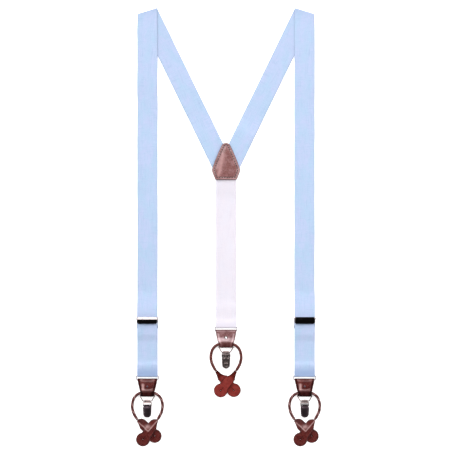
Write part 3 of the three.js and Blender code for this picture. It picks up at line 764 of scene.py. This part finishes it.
# half of the cord's line, from the middle of the tunnel to the button tab
ARM = [
    (0, -24.9, 4.1), (7, -24.9, 4.1), (12.5, -25.2, 4.1), (18, -28, 3.6), (22.8, -33.5, 3.0),
    (25.4, -41, 2.6), (26, -49, 2.6), (24.4, -57, 2.6), (21, -64.5, 2.6), (16.8, -71, 2.6),
]


def cord_line():
    left = [(-x, y, z) for x, y, z in reversed(ARM[1:])]
    return spline(left + ARM, 1.0)


def make_cord(end, x0, top):
    line = cord_line() + (x0, top, 0)
    total = line_length(line)
    strands = 0.0 if end == "rear" else 0.04

    def swell(along, angle):
        taper = 0.72 + 0.28 * smooth(np.minimum(along, total - along) / 5.0)
        twist = np.cos(2 * (angle - 2 * math.pi * along / 26.0))
        return taper * (1 - strands * 0.5 + strands * 0.5 * twist)

    rings, along = tube_rings(line, CORD_R, 20, swell=swell)
    verts, faces, uv = loft(rings, along)
    cord = make(f"cord_{end}", verts, faces, REAR_CORD if end == "rear" else CORD, uv)
    place(cord, "tab_leather", f"loop_cord_{end}", f"loop_cord_{end}")
    return cord, line, total


def tab_outline(far, inner, rear):
    """The button tab from the cord's end at 0 to its disc at far, along +x. inner is the side,
    +1 or -1, that faces the other tab and is cut fuller."""
    shoulder = DISC_R * math.sqrt(0.5)
    neck = (0.4, 2.5)
    full = [neck] + curve_points(neck, (3.5, 8.2), (9.5, 8.9), 9)
    if rear:
        full = [neck] + curve_points(neck, (12.5, 2.4), (17.5, 8.0), 12)
    slim = [neck] + curve_points(neck, (7, 4.3), (13, 8.0), 9)
    full.append((far - shoulder, shoulder))
    slim.append((far - shoulder, shoulder))
    round_end = [
        (far + DISC_R * math.cos(a), DISC_R * math.sin(a))
        for a in np.radians(np.linspace(-135, 135, 40))[1:-1]
    ]
    upper, lower = (full, slim) if inner > 0 else (slim, full)
    return [(x, -y) for x, y in lower] + round_end + upper[::-1]


def slit(x, y, far):
    """The closed cut that runs from the buttonhole back towards the cord."""
    ends = smooth((far - x) / 0.8) * smooth((x - far + 7.5) / 0.8)
    return bell(y, 0.45) * ends


# the creases' ends, from the middle of the leather tab's top
SEAMS = [((17.9, -71.3), (1.5, -90.2)), ((-14.8, -75.6), (1.5, -90.2))]


def seam_lines_and_highlight(x, y):
    """The two creases that meet in a V over the crossing tabs, and the painted highlight between them.
    """
    lines = np.zeros(len(x))
    for a, b in SEAMS:
        a, b = np.array(a), np.array(b)
        d = b - a
        t = np.clip(((x - a[0]) * d[0] + (y - a[1]) * d[1]) / (d @ d), 0, 1)
        away = np.hypot(x - a[0] - t * d[0], y - a[1] - t * d[1])
        lines = np.maximum(lines, bell(away, 0.75))
    painted_sheen = np.exp(-((x - 0.5) / 5) ** 2 - ((y + 82.5) / 3.2) ** 2)
    return lines, painted_sheen


def make_button_tab(end, side, disc, z0, level, x0, top):
    """disc is the middle of the tab's round end, and z0 its underside."""
    start = np.array((side * ARM[-1][0], ARM[-1][1]))
    run = np.array(disc) - start
    far = float(np.linalg.norm(run))
    turn = math.atan2(run[1], run[0])
    rear = end == "rear"
    seat = z0 + 0.9
    rolled = 0.5 if rear else 0.75

    def middle(x, y, d):
        neck = 1 - smooth((x - 2) / 15)
        cup = 0.5 * smooth((x - 8) / 14) * (1 - smooth((x - far + 16) / 12)) * np.abs(y) / 8
        return seat + (2.7 - seat) * neck + (cup if level == "upper" else 0)

    def thick(x, y, d):
        return 1.8 + 3.0 * (1 - smooth(x / 13))

    c, s = math.cos(turn), math.sin(turn)

    def top_face(x, y, d):
        ridge = bell(d - 1.3, 0.55)
        dome = 0.35 * (1 - smooth(np.hypot(x - far, y) / 11))
        lines, _ = seam_lines_and_highlight(x * c - y * s + start[0], x * s + y * c + start[1])
        raised = rolled * 0.5 * ridge * (np.hypot(x - far, y) > 3)
        return raised + 0.6 * lines * (0.2 if rear else 1.0) + dome - 0.35 * slit(x, y, far)

    verts, faces, uv, edge = slab(
        tab_outline(far, -side, rear), [circle(far, 0, KEYHOLE_R, 18)],
        middle, thick, top_face, step=0.85, rim=0.7,
    )
    flat_x, flat_y = verts[:, 0], verts[:, 1]
    x = flat_x * c - flat_y * s + start[0]
    y = flat_x * s + flat_y * c + start[1]
    # painted highlight along the V creases and between them; painted shade in the slit and round the
    # buttonhole, and on the rear tabs towards the neck and along the edges
    lines, painted_sheen = seam_lines_and_highlight(x, y)
    wear_and_painted_light = np.clip(0.75 * lines + 0.7 * painted_sheen, 0, 1) * (0.25 if rear else 1.0)
    eyelet = bell(np.hypot(flat_x - far, flat_y), 1.1)
    wear_and_painted_light = wear_and_painted_light - 0.8 * slit(flat_x, flat_y, far) - eyelet
    if rear:
        wear_and_painted_light = wear_and_painted_light - 0.7 * (1 - smooth((flat_x - 9) / 9)) - 0.5 * (1 - smooth(edge / 1.6))
    wear_and_painted_light *= verts[:, 2] > z0 + 1.0
    verts = np.stack([x + x0, y + top, verts[:, 2]], 1)
    skin = FLESH if rear else TAB
    tab = make(f"button_tab_{level}_{end}", verts, faces, skin, uv, edge, wear_and_painted_light=wear_and_painted_light)
    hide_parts(f"button_tab_{level}_{end}")
    along = run / far
    first = point(x0 + start[0], top + start[1], NECK_Z)
    last = point(x0 + start[0] + along[0] * 14, top + start[1] + along[1] * 14, NECK_Z)
    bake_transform(tab)


for end, (x0, top) in ENDS.items():
    lower_disc = (13.5, -104) if end == "rear" else (12.5, -99)
    make_button_tab(end, -1, lower_disc, 0.2, "lower", x0, top)
    upper_disc = (-9.0, -104.0) if end == "rear" else (-7.5, -104.2)
    make_button_tab(end, 1, upper_disc, 3.0, "upper", x0, top)
    cord, line, total = make_cord(end, x0, top)
    metres(line[:1])[0].tolist()
    metres(line).tolist()


# ---- straps


def strap_piece(name, parts, material, nodes_replaced):
    """A band of cloth, as verts, faces, uv and a fourth thing that cloth doesn't use."""
    verts, faces, uv, _ = parts
    strap = make(name, verts, faces, material, uv, painted_fold_shade(verts))
    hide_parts(*nodes_replaced)
    return strap


def painted_fold_shade(verts):
    """Painted shade on the cloth next to the shoulder fold and the rings, from 0 to 1."""
    y = verts[:, 1]
    shoulder = 0.25 * np.exp(-np.clip(FOLD_Y - y, 0, 99) / 5)
    ring = bell(np.clip(y - 125, 0, 99), 9) * (np.abs(verts[:, 0]) > 60)
    rear_ring = 0.25 * bell(np.clip(y - 208, 0, 99), 4) * (np.abs(verts[:, 0]) < 60)
    return np.clip(shoulder + ring + rear_ring, 0, 1)


def selvedge(u, half, _):
    """The woven edges stand slightly proud of the face."""
    return 0.08 * math.exp(-((half - abs(u) - 0.7) / 0.35) ** 2)


def front_strap(name, sx):
    slope = -sx * math.tan(FOLD)
    stops = [
        (FOLD_Y, 1.6), (FOLD_Y - 14, 1.15), (FOLD_Y - 110, 1.15), (FOLD_Y - 165, 0.03),
        (268, 0.03), (229, ADJUSTER_Z), (RUN_END, ADJUSTER_Z),
    ]
    line = side_line(stops, 4.0)
    wander = np.interp(line[:, 1], np.linspace(207, 747, 24), RNG.normal(0, 0.12, 24))
    wander *= smooth((FOLD_Y - line[:, 1]) / 40) * smooth((line[:, 1] - RUN_END) / 40)
    normals = outward(line)
    skew = slope * (1 - smooth((FOLD_Y - line[:, 1]) / 150))
    across = np.stack([np.ones(len(line)), skew, np.zeros(len(line))], 1)
    line = line + (sx * FRONT_X, 0, 0)
    line[:, 0] += wander
    line[:, 2] += np.abs(wander)
    drawn_in = FOLD_EDGE * math.cos(FOLD) - HALF
    halves = HALF + drawn_in * (1 - smooth((FOLD_Y - line[:, 1]) / 30))
    parts = band(line, normals, across, halves, STRAP_T, extra=selvedge)
    parts[2][:, 1] = FOLD_Y - parts[0][:, 1]
    strap = strap_piece(f"front_run_{name}", parts, BLUE, [f"front_strap_{name}"])
    point(sx * FRONT_X, FOLD_Y - 60, 0)
    point(sx * FRONT_X, 240, 0)
    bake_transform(strap)


def shoulder_turn(name, sx):
    along_fold = np.array((math.cos(FOLD), -sx * math.sin(FOLD), 0)) * FOLD_EDGE / HALF
    over = np.array((sx * math.sin(FOLD), math.cos(FOLD), 0))
    turns = np.radians(np.linspace(0, 180, 17))
    foot = np.array((sx * FRONT_X, FOLD_Y, BARREL_Z))
    normals = np.array([over * math.sin(t) + (0, 0, math.cos(t)) for t in turns])
    centres = foot + normals * BARREL_IN
    verts, faces, uv, _ = band(centres, normals, along_fold, HALF, STRAP_T, extra=selvedge)
    arc_at = np.repeat(-turns * 0.8, len(verts) // len(turns))
    uv[:, 1] = arc_at + uv[:, 0] * sx * math.tan(FOLD)
    turn = make(f"shoulder_turn_{name}", verts, faces, BLUE, uv, painted_fold_shade(verts))
    point(sx * FRONT_X, FOLD_Y, 0.6)
    point(sx * FRONT_X, FOLD_Y, 2.1)
    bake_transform(turn)
    return turn


def back_run(name, sx, level, turn):
    length = (FOLD_Y - PATCH_Y) / math.cos(BACK)
    ahead = np.array((-sx * math.sin(BACK), -math.cos(BACK), 0))
    side = np.array((math.cos(BACK), -sx * math.sin(BACK), 0))
    stops = [(0, 0.0), (length - 105, 0.0), (length - 65, level), (length, level)]
    line = side_line(stops, 4.0)
    at = line[:, 1]
    lift = line[:, 2]
    wander = np.interp(at, np.linspace(0, length, 14), RNG.normal(0, 0.12, 14))
    wander *= smooth(at / 40) * smooth((length - 70 - at) / 40)
    lift = lift + np.abs(wander)
    tilt = np.gradient(lift, at)
    centres = np.array((sx * FRONT_X, FOLD_Y, 1.0)) + ahead * at[:, None] + side * wander[:, None]
    centres[:, 2] = 1.0 + lift
    normals = ahead * tilt[:, None] + np.array((0, 0, -1.0))
    normals /= np.linalg.norm(normals, axis=1)[:, None]
    meet = math.tan(BACK - FOLD)
    lean = meet + (math.tan(BACK) - meet) * smooth((at - length + 60) / 60)
    across = side - ahead * lean[:, None] * sx
    parts = band(centres, normals, across, HALF, STRAP_T, extra=selvedge)
    foot = np.array((sx * FRONT_X, FOLD_Y, 0))
    parts[2][:, 1] = -((parts[0] - foot) @ ahead) - 2.6
    run = strap_piece(f"back_run_{name}", parts, BLUE, [f"back_strap_{name}"])
    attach(run, "yoke")


for name, sx in SIDES.items():
    front_strap(name, sx)
    back_run(name, sx, 1.5 if sx < 0 else 2.8, shoulder_turn(name, sx))


def to_ring(stops, step, ring_y, back_ys):
    """A strap's line down to its ring, round it and back underneath, and the normals."""
    down = side_line(stops, step)
    ring, turns = arc(ring_y, RING_Z, TURN_R, 0, 180)
    up = np.array([(0, y, UNDER_Z) for y in back_ys])
    under = np.tile((0, 0, -1.0), (len(up), 1))
    return [down, ring, up], [outward(down), arc_normals(turns), under]


def adjusting_loop(name, sx):
    """Down from the adjuster, round the ring bar, up behind and over the adjuster's bar."""
    stops = [
        (RUN_END, ADJUSTER_Z), (194, ADJUSTER_Z), (178, 1.4), (147, 1.4), (138, 3.2), (121.1, 3.2)
    ]
    lines, normals = to_ring(stops, 2.0, FRONT_RING_Y, np.linspace(122.6, 203.5, 40))
    bar, bar_turns = arc(205, 1.7, 0.7, 180, 360)
    back = np.array([(0, y, 2.4) for y in np.linspace(203.5, 194.5, 6)])
    line = np.concatenate([*lines, bar, back])
    over = np.tile((0, 0, 1.0), (len(back), 1))
    normals = np.concatenate([*normals, arc_normals(bar_turns), over])
    line = line + (sx * FRONT_X, 0, 0)
    parts = band(line, normals, (1, 0, 0), HALF, STRAP_T, extra=selvedge)
    loop = strap_piece(
        f"adjusting_loop_{name}", parts, BLUE,
        [f"strap_loop_front_{name}", f"strap_turn_{name}", f"strap_loop_return_{name}"],
    )
    point(sx * FRONT_X, 192, 0)
    point(sx * FRONT_X, 134, 0)
    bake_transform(loop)


for name, sx in SIDES.items():
    adjusting_loop(name, sx)


def elastic():
    stops = [
        (468, 1.5), (445, 1.5), (424, 0.03), (252, 0.03), (236, 1.3), (222, 1.3),
        (208.3, 3.2), (204.5, 3.2),
    ]
    lines, normals = to_ring(stops, 3.0, REAR_RING_Y, np.linspace(205.6, 222, 8))
    line, normals = np.concatenate(lines), np.concatenate(normals)
    parts = band(line, normals, (1, 0, 0), HALF, STRAP_T, extra=selvedge)
    strap = strap_piece("elastic_run", parts, WHITE, ["elastic_strap", "elastic_end"])
    point(0, 440, 0)
    point(0, 238, 0)
    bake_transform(strap)


elastic()


# ---- crosspatch


STITCH_PITCH = 4.2


def patch_outline(inset):
    """The stitched teardrop, drawn in by inset millimetres."""
    half = 24 - inset
    foot = 18.2 - inset * 0.7
    tip = 6.8 - inset * 0.45
    tip_y = 516.8 - inset * 1.15
    top = tip_y + 3.2
    low = 456.5 + inset
    waist = (half, 475)
    hip = (half - 1.8, 466.5)
    cheek = (17.4 - inset * 0.95, 495 - inset * 0.5)
    right = curve_points((0, top), (tip * 0.55, top), (tip, tip_y), 6)
    right += curve_points((tip, tip_y), cheek, waist, 12)
    right += curve_points(waist, (half + 0.3, 470), hip, 6)
    right += [(foot + 0.8, low + 2)]
    right += curve_points((foot + 0.8, low + 2), (foot, low), (foot - 2, low), 6)
    return [(0, top)] + right + [(-x, y) for x, y in reversed(right)]


def crosspatch():
    """Top leather, lining and the stitches that join them."""
    def ripple(x, y):
        return 0.22 * np.sin(0.17 * x + 0.05 * y) * np.sin(0.11 * y)

    def shut(x, y):
        return bell(y - 475, 9) * smooth((np.abs(x) - 14) / 8)

    def middle(x, y, d):
        return 4.75 - 1.2 * shut(x, y) * (1 - smooth(d / 5)) - 0.35 * (1 - smooth(d / 3))

    def top_face(x, y, d):
        groove = -0.85 * bell(d - GROOVE, 0.75)
        rim = 0.45 * np.sin(math.pi * np.clip(d / 3.6, 0, 1))
        crown = rim + 1.15 * (1 - np.exp(-np.clip(d - GROOVE, 0, 40) / 3.2))
        return groove + crown + ripple(x, y) * smooth(d / 6)

    parts = slab(patch_outline(0), [], middle, 1.3, top_face, step=0.95, rim=0.6)
    x, y, _ = parts[0].T
    # painted highlight down the left of the crown and along the ridge inside the edge, stronger to the
    # right
    inner = smooth((parts[3] - GROOVE) / 2)
    left = bell(x + 9.5 + (y - 478) * -0.22, 3.6) * smooth((508 - y) / 14)
    ridge = bell(parts[3] - 1.9, 0.9) * (0.22 + 0.3 * smooth((x - 2) / 8))
    wear_and_painted_light = np.clip(0.6 * left * inner + ridge, 0, 1)
    patch = make("crosspatch_face", *parts[:2], PATCH, parts[2], parts[3], wear_and_painted_light=wear_and_painted_light)
    place(patch, "patch_leather", "yoke", "crosspatch_top")

    def low_middle(x, y, d):
        return 0.62 + 1.3 * shut(x, y) * (1 - smooth(d / 5))

    parts = slab(patch_outline(0.4), [], low_middle, 1.2, step=1.3, rim=0.5)
    lining = make("crosspatch_back", *parts[:2], PATCH, parts[2], parts[3])
    place(lining, "patch_leather", "yoke", "crosspatch_lining")

    loop = np.array(patch_outline(GROOVE))
    loop = np.concatenate([loop, loop[:1]])
    line = resample(np.column_stack([loop, np.zeros(len(loop))]), 1.0, closed=True)
    stitch_at = resample(np.vstack([line, line[:1]]), STITCH_PITCH, closed=True)
    ahead = np.roll(stitch_at, -1, 0) - stitch_at
    ahead /= np.linalg.norm(ahead, axis=1)[:, None]
    stitches = []
    steps = np.linspace(-1.4, 1.4, 7)
    bulge = 1 - (steps / 1.4) ** 2
    thin = np.sqrt(np.clip(bulge + 0.02, 0.05, 1))
    for p, way in zip(stitch_at, ahead):
        sunk = 1.2 * float(shut(p[0], p[1])) * (1 - float(smooth(GROOVE / 5)))
        z = 4.95 - sunk + float(ripple(p[0], p[1]))
        skewed = way + np.array((-way[1], way[0], 0)) * RNG.normal(0.16, 0.05)
        path = np.array([p + skewed * t + (0, 0, z + 0.22 * b) for t, b in zip(steps, bulge)])
        rings, along = tube_rings(path, 0.45, 8, swell=lambda along, angle: thin)
        stitches.append(plan_uv(loft(rings, along)))
    verts, faces, uv = join_parts(stitches)
    thread = make("crosspatch_stitches", verts, faces, THREAD, uv)
    place(thread, "patch_leather", "yoke")


crosspatch()


# ---- ends of the straps

# y from the top of the tab, and height of its underside
TAB_STOPS = [
    (-5, 2.3), (-9, 2.55), (-13.5, 2.9), (-18.2, 3.2), (-20.4, 4.9), (-22.1, 6.2), (-24.9, 6.9),
    (-27.6, 6.0), (-29.1, 4.6),
]


def tab_half(end, y):
    """Half the tab's width: straight sides in front, rounded ones on the rear tab."""
    down = np.clip(-np.asarray(y) / 23, 0, 1)
    tunnel = smooth((-21.5 - np.asarray(y)) / 2.5)
    if end == "rear":
        return 17.5 - 4.4 * down ** 1.8 - 1.5 * tunnel
    return 17.1 - 4.9 * down ** 1.3 - 0.6 * tunnel


def leather_tab(end, x0, top):
    """One strip: round the ring bar, down the face, round the cord and bail, and back up."""
    ring, ring_turns = arc(-2.1, RING_Z, 0.8, 0, -180, 11)
    face = spline([(0, -2.1, 2.9), *[(0, y, z) for y, z in TAB_STOPS]], 0.7)
    tail, tail_turns = arc(-28.4, TUNNEL_Z, 1.0, 40, 180, 8)
    under = [(-28.4, 3.1), (-24.9, 1.3), (-20.5, 2.4), (-13.5, 2.9), (-5, 2.1), (-2.1, 1.3)]
    back = spline([(0, y, z) for y, z in under], 0.9)
    line = np.concatenate([face[1:], tail, back[1:-1], ring[::-1][:-1]])
    normals = np.concatenate([
        outward(face)[1:],
        arc_normals(tail_turns),
        [(0, -n[1], -n[2]) if n[2] > 0 else tuple(n) for n in outward(back)[1:-1]],
        arc_normals(ring_turns[::-1][:-1]),
    ])
    line = smooth_ring(line)
    normals = smooth_ring(normals)
    normals /= np.linalg.norm(normals, axis=1)[:, None]
    halves = tab_half(end, line[:, 1])
    raised = 0.25 if end == "rear" else 1.0

    def emboss(u, half, i):
        y = line[i, 1]
        if normals[i, 2] < 0.1:
            return 0.0
        panel = half - 4.2
        side_edge = float(smooth((panel - abs(u)) / 0.8))
        foot = -20.2 + 0.018 * u * u
        ends = float(smooth((y - foot) / 1.2) * smooth((-3.6 - y) / 1.2))
        seam = math.exp(-((abs(u) - panel + 1.9) / 0.35) ** 2) * ends
        puff = 0.35 * float(smooth((half - abs(u)) / 3))
        return raised * (1.15 * side_edge * ends - 0.28 * seam) + puff * float(smooth((-2 - y) / 6))

    columns = np.linspace(-1, 1, 57)
    verts, faces, uv, edge = band(
        line + (x0, top, 0), normals, (1, 0, 0), halves, 1.3, columns, emboss, closed=True
    )
    skin = REAR_TAB if end == "rear" else TAB
    wear_and_painted_light = tab_painted_light(end, verts - (x0, top, 0))
    tab = make(f"end_tab_{end}", verts, faces, skin, uv, edge, wear_and_painted_light=wear_and_painted_light)
    place(tab, "tab_leather", f"leather_tab_{end}", f"leather_tab_{end}")


def tab_painted_light(end, verts):
    """Painted light on the leather tab: painted highlights under the top fold and on the raised panel,
    painted shade along the very top, in the wings and the tunnel, and round the rivet in front.
    """
    x, y, z = verts.T
    front = z > 2.5
    half = tab_half(end, y)
    brink = -0.9 * smooth((y + 1.5) / 0.8)
    fold = bell(y + 2.5, 0.75) * front
    tunnel = -0.75 * smooth((-20.3 - y) / 1.5)
    if end == "rear":
        glint = fold * (0.25 + 0.45 * np.abs(x) / 17)
        low = 0.85 * bell(y + 16, 2.6) * (1 - 0.5 * smooth((x - 2) / 8))
        low += 0.5 * bell(np.abs(x) - half + 3.5, 1.6) * smooth((-5 - y) / 3)
        side = -0.5 * smooth((np.abs(x) - half + 1.8) / 1.2)
        return np.clip(brink + glint + low * front + side + tunnel, -1, 1)
    glint = fold * (0.2 + 0.5 * smooth((np.abs(x) - 4) / 8))
    wing = -0.65 * smooth((np.abs(x) - half + 4.4) / 0.9)
    lit = 0.8 * bell(x + 7.5, 2.3) * smooth((-7 - y) / 4) * smooth((y + 20) / 1.5)
    foot = 0.45 * bell(y + 18.7 - 0.018 * x * x, 0.9) * (np.abs(x) < half - 4)
    shade = -0.4 * np.exp(-(((x - 0.8) / 4.5) ** 2 + ((y + 15.5) / 3.2) ** 2))
    return np.clip(brink + glint + wing + (lit + foot) * front + shade + tunnel, -1, 1)


def smooth_ring(values, passes=2):
    out = np.array(values, float)
    for _ in range(passes):
        out = (np.roll(out, 1, 0) + 2 * out + np.roll(out, -1, 0)) / 4
    return out


CAP = [
    (0.02, 0.5), (2.6, 0.5), (2.9, 0.9), (2.9, 4.9), (2.75, 5.25), (2.2, 5.3), (1.7, 5.05),
    (1.3, 4.95), (1.0, 5.15), (0.5, 5.35), (0.02, 5.4),
]
COLLAR = [
    (0.02, 0.5), (2.6, 0.5), (2.8, 0.9), (3.1, 4.6), (3.2, 4.95), (3.0, 5.12), (2.6, 5.0),
    (2.4, 4.7), (0.02, 4.6),
]
DOME = [
    (0.02, 4.55), (2.35, 4.6), (2.45, 4.85), (2.2, 5.35), (1.6, 5.8), (0.9, 6.05), (0.02, 6.15),
]


def put_rivet(end, x0, top):
    """A dished cap on the rear tab, and a dome in a collar on the front ones."""
    shapes = [("collar", COLLAR, CHROME, "dark_chrome"), ("dome", DOME, CHROME, "dark_chrome")]
    if end == "rear":
        shapes = [("cap", CAP, NICKEL, "nickel")]
    for kind, profile, material, slot_name in shapes:
        verts, faces, uv = lathe(profile, x0, top + RIVET_Y)
        piece = make(f"rivet_{kind}_{end}", verts, faces, material, uv)
        replaced = () if kind == "collar" else (f"rivet_{end}",)
        place(piece, slot_name, f"leather_tab_{end}", *replaced)


def wire_piece(name, corners, z, bend, end, material, body):
    """A closed wire that stands for the CAD node named after the body it rides."""
    x0, top = ENDS[end]
    line = wire_loop(corners, z, bend) + (x0, top, 0)
    rings, _ = tube_rings(line, WIRE_R, 14, closed=True)
    verts, faces, uv = loft(rings, np.arange(len(line)) * 0.8, closed=True)
    wire = make(name, verts, faces, material, uv)
    place(wire, "nickel", body, body)


for end, (x0, top) in ENDS.items():
    leather_tab(end, x0, top)
    put_rivet(end, x0, top)
    wire_piece(
        f"ring_wire_{end}", [(18.8, 4.7), (18.8, -2.1), (-18.8, -2.1), (-18.8, 4.7)],
        RING_Z, 1.5, end, RING, f"ring_{end}",
    )
    wire_piece(
        f"bail_wire_{end}", [(13.2, -28.6), (7.6, BAIL_FOOT), (-7.6, BAIL_FOOT), (-13.2, -28.6)],
        TUNNEL_Z, 1.2, end, STEEL, f"bail_{end}",
    )


# ---- clips


def clip_mesh(name, parts, material, end, body, slot_name, *replaced):
    """A clip piece, turned face down at the rear end."""
    x0, top = ENDS[end]
    verts, faces, uv = parts
    if end == "rear":
        verts = verts * (-1, 1, -1) + (0, 0, 2 * TUNNEL_Z)
    place(make(name, verts + (x0, top, 0), faces, material, uv), slot_name, body, *replaced)


def clip(end):
    """Back plate with its knuckle and cheeks, hood, lever and barrel."""
    toe = np.radians(np.linspace(185, 355, 24))
    plate = [(-7.4, -41), (-6.3, -58)]
    plate += [(6 * math.cos(a), -60.2 + 6 * math.sin(a)) for a in toe]
    plate += [(6.3, -58), (7.4, -41)]
    holes = [circle(-3.3, -46, 1.6), circle(3.3, -46, 1.6), circle(0, -61, 1.7)]
    holes.append([(-2.65, -56.5), (2.65, -56.5), (2.65, -54.4), (-2.65, -54.4)])

    def pressed_in(d):
        return 0.25 * smooth((d - 0.6) / 1.5)

    base = slab(plate, holes, 0.95, 0.9, step=0.8, rim=0.3, under=lambda x, y, d: -pressed_in(d))
    shapes = [
        base[:3],
        plan_uv(rod(4.7, BAIL_FOOT, TUNNEL_Z, 2.1, 24)),
        box_part(-4.7, 4.7, -42.5, -39.0, 0.5, 2.9),
        box_part(-7.5, -6.7, -46.5, -41, 0.5, 7.0),
        box_part(6.7, 7.5, -46.5, -41, 0.5, 7.0),
    ]
    clip_mesh(
        f"clip_back_{end}", join_parts(shapes), STEEL, end, f"clip_{end}", "nickel",
        f"clip_plate_{end}",
    )
    section = [
        (-6.6, 0), (-6.6, 0.5), (-3, 0.62), (0, 0.66), (3, 0.62), (6.6, 0.5), (6.6, 0), (0, 0.05)
    ]
    rings = []
    for a in np.radians(np.linspace(-8, 82, 12)):
        s, c = math.sin(a), math.cos(a)
        y, z = -41.3 + 2.2 * s, 4.9 + 2.1 * c
        rings.append([(x, y + (h - 0.6) * s, z + (h - 0.6) * c) for x, h in section])
    hood = loft(np.array(rings), np.arange(12) * 0.4)
    clip_mesh(f"clip_hood_{end}", hood, STEEL, end, f"clip_{end}", "nickel")
    lever = [(-4.4, -43.9), (-4.4, -47.2)]
    lever += curve_points((-4.4, -47.2), (-7.1, -47.6), (-7.3, -49.5), 6)
    lever += [(-6.95, -59.5)] + curve_points((-6.95, -59.5), (-6.3, -66.2), (0, -66.3), 12)
    lever += curve_points((0, -66.3), (6.3, -66.2), (6.95, -59.5), 12) + [(7.3, -49.5)]
    lever += curve_points((7.3, -49.5), (7.1, -47.6), (4.4, -47.2), 6) + [(4.4, -43.9)]

    def domed(x, y, d):
        across = 1 - np.clip(np.abs(x) / 7.4, 0, 1) ** 2
        along = smooth((-46 - y) / 5) * (1 - 0.5 * smooth((-58 - y) / 9))
        return 0.85 * across * along * smooth(d / 2.5)

    face = slab(lever, [], 6.6, 1.0, domed, step=0.7, rim=0.45)
    clip_mesh(
        f"clip_cover_{end}", face[:3], CHROME, end, f"clip_lever_{end}", "dark_chrome",
        f"clip_lever_{end}",
    )
    barrel = rod(6.4, CLIP_PIN, 5.2, 1.75, 24)
    clip_mesh(f"clip_barrel_{end}", barrel, NICKEL, end, f"clip_lever_{end}", "nickel")


for end in ENDS:
    clip(end)


# ---- adjusters


def adjuster(name, sx):
    """Folding cover plate with teeth, over a frame with a pivot pin."""
    half, low, high = HALF, 209.9, 221.8
    cover = [
        (-half + 2.5, low), (half - 2.5, low), (half, low + 2.5), (half, high - 2.0),
        (half - 2.0, high), (-half + 2.0, high), (-half, high - 2.0), (-half, low + 2.5),
    ]

    def crease(x, y, d):
        return 0.2 - 0.018 * np.clip(y - 215.2, 0, 9) ** 2

    face = slab(cover, [], 7.6, 0.8, crease, step=0.8, rim=0.2)
    teeth = [
        box_part(x - 0.7, x + 0.7, 211.4, 213.4, 5.05, 7.4, 0.2) for x in np.linspace(-14, 14, 15)
    ]
    shapes = [face[:3], *teeth, plan_uv(rod(17, PIN_Y, 6.2, 1.45, 20))]
    verts, faces, uv = join_parts(shapes)
    lever = make(f"adjuster_cover_{name}", verts + (sx * FRONT_X, 0, 0), faces, COVER, uv, sharp=35)
    place(lever, "dark_chrome", f"adjuster_lever_{name}", f"adjuster_lever_{name}")
    bars = [box_part(-18.9, 18.9, 202, 205, 1.3, 2.1), box_part(-18.4, 18.4, 212, 217, 2.5, 3.4)]
    for inner, foot, high in [(17.7, 202.5, 3.4), (17.75, 216.4, 7.4)]:
        bars.append(box_part(-18.5, -inner, foot, 222.3, 1.4, high))
        bars.append(box_part(inner, 18.5, foot, 222.3, 1.4, high))
    bars.append(plan_uv(rod(19, PIN_Y, 6.4, 0.65, 14)))
    verts, faces, uv = join_parts(bars)
    base = make(f"adjuster_base_{name}", verts + (sx * FRONT_X, 0, 0), faces, NICKEL, uv, sharp=35)
    place(base, "nickel", f"adjuster_{name}", f"adjuster_frame_{name}", f"adjuster_pin_{name}")


for name, sx in SIDES.items():
    adjuster(name, sx)
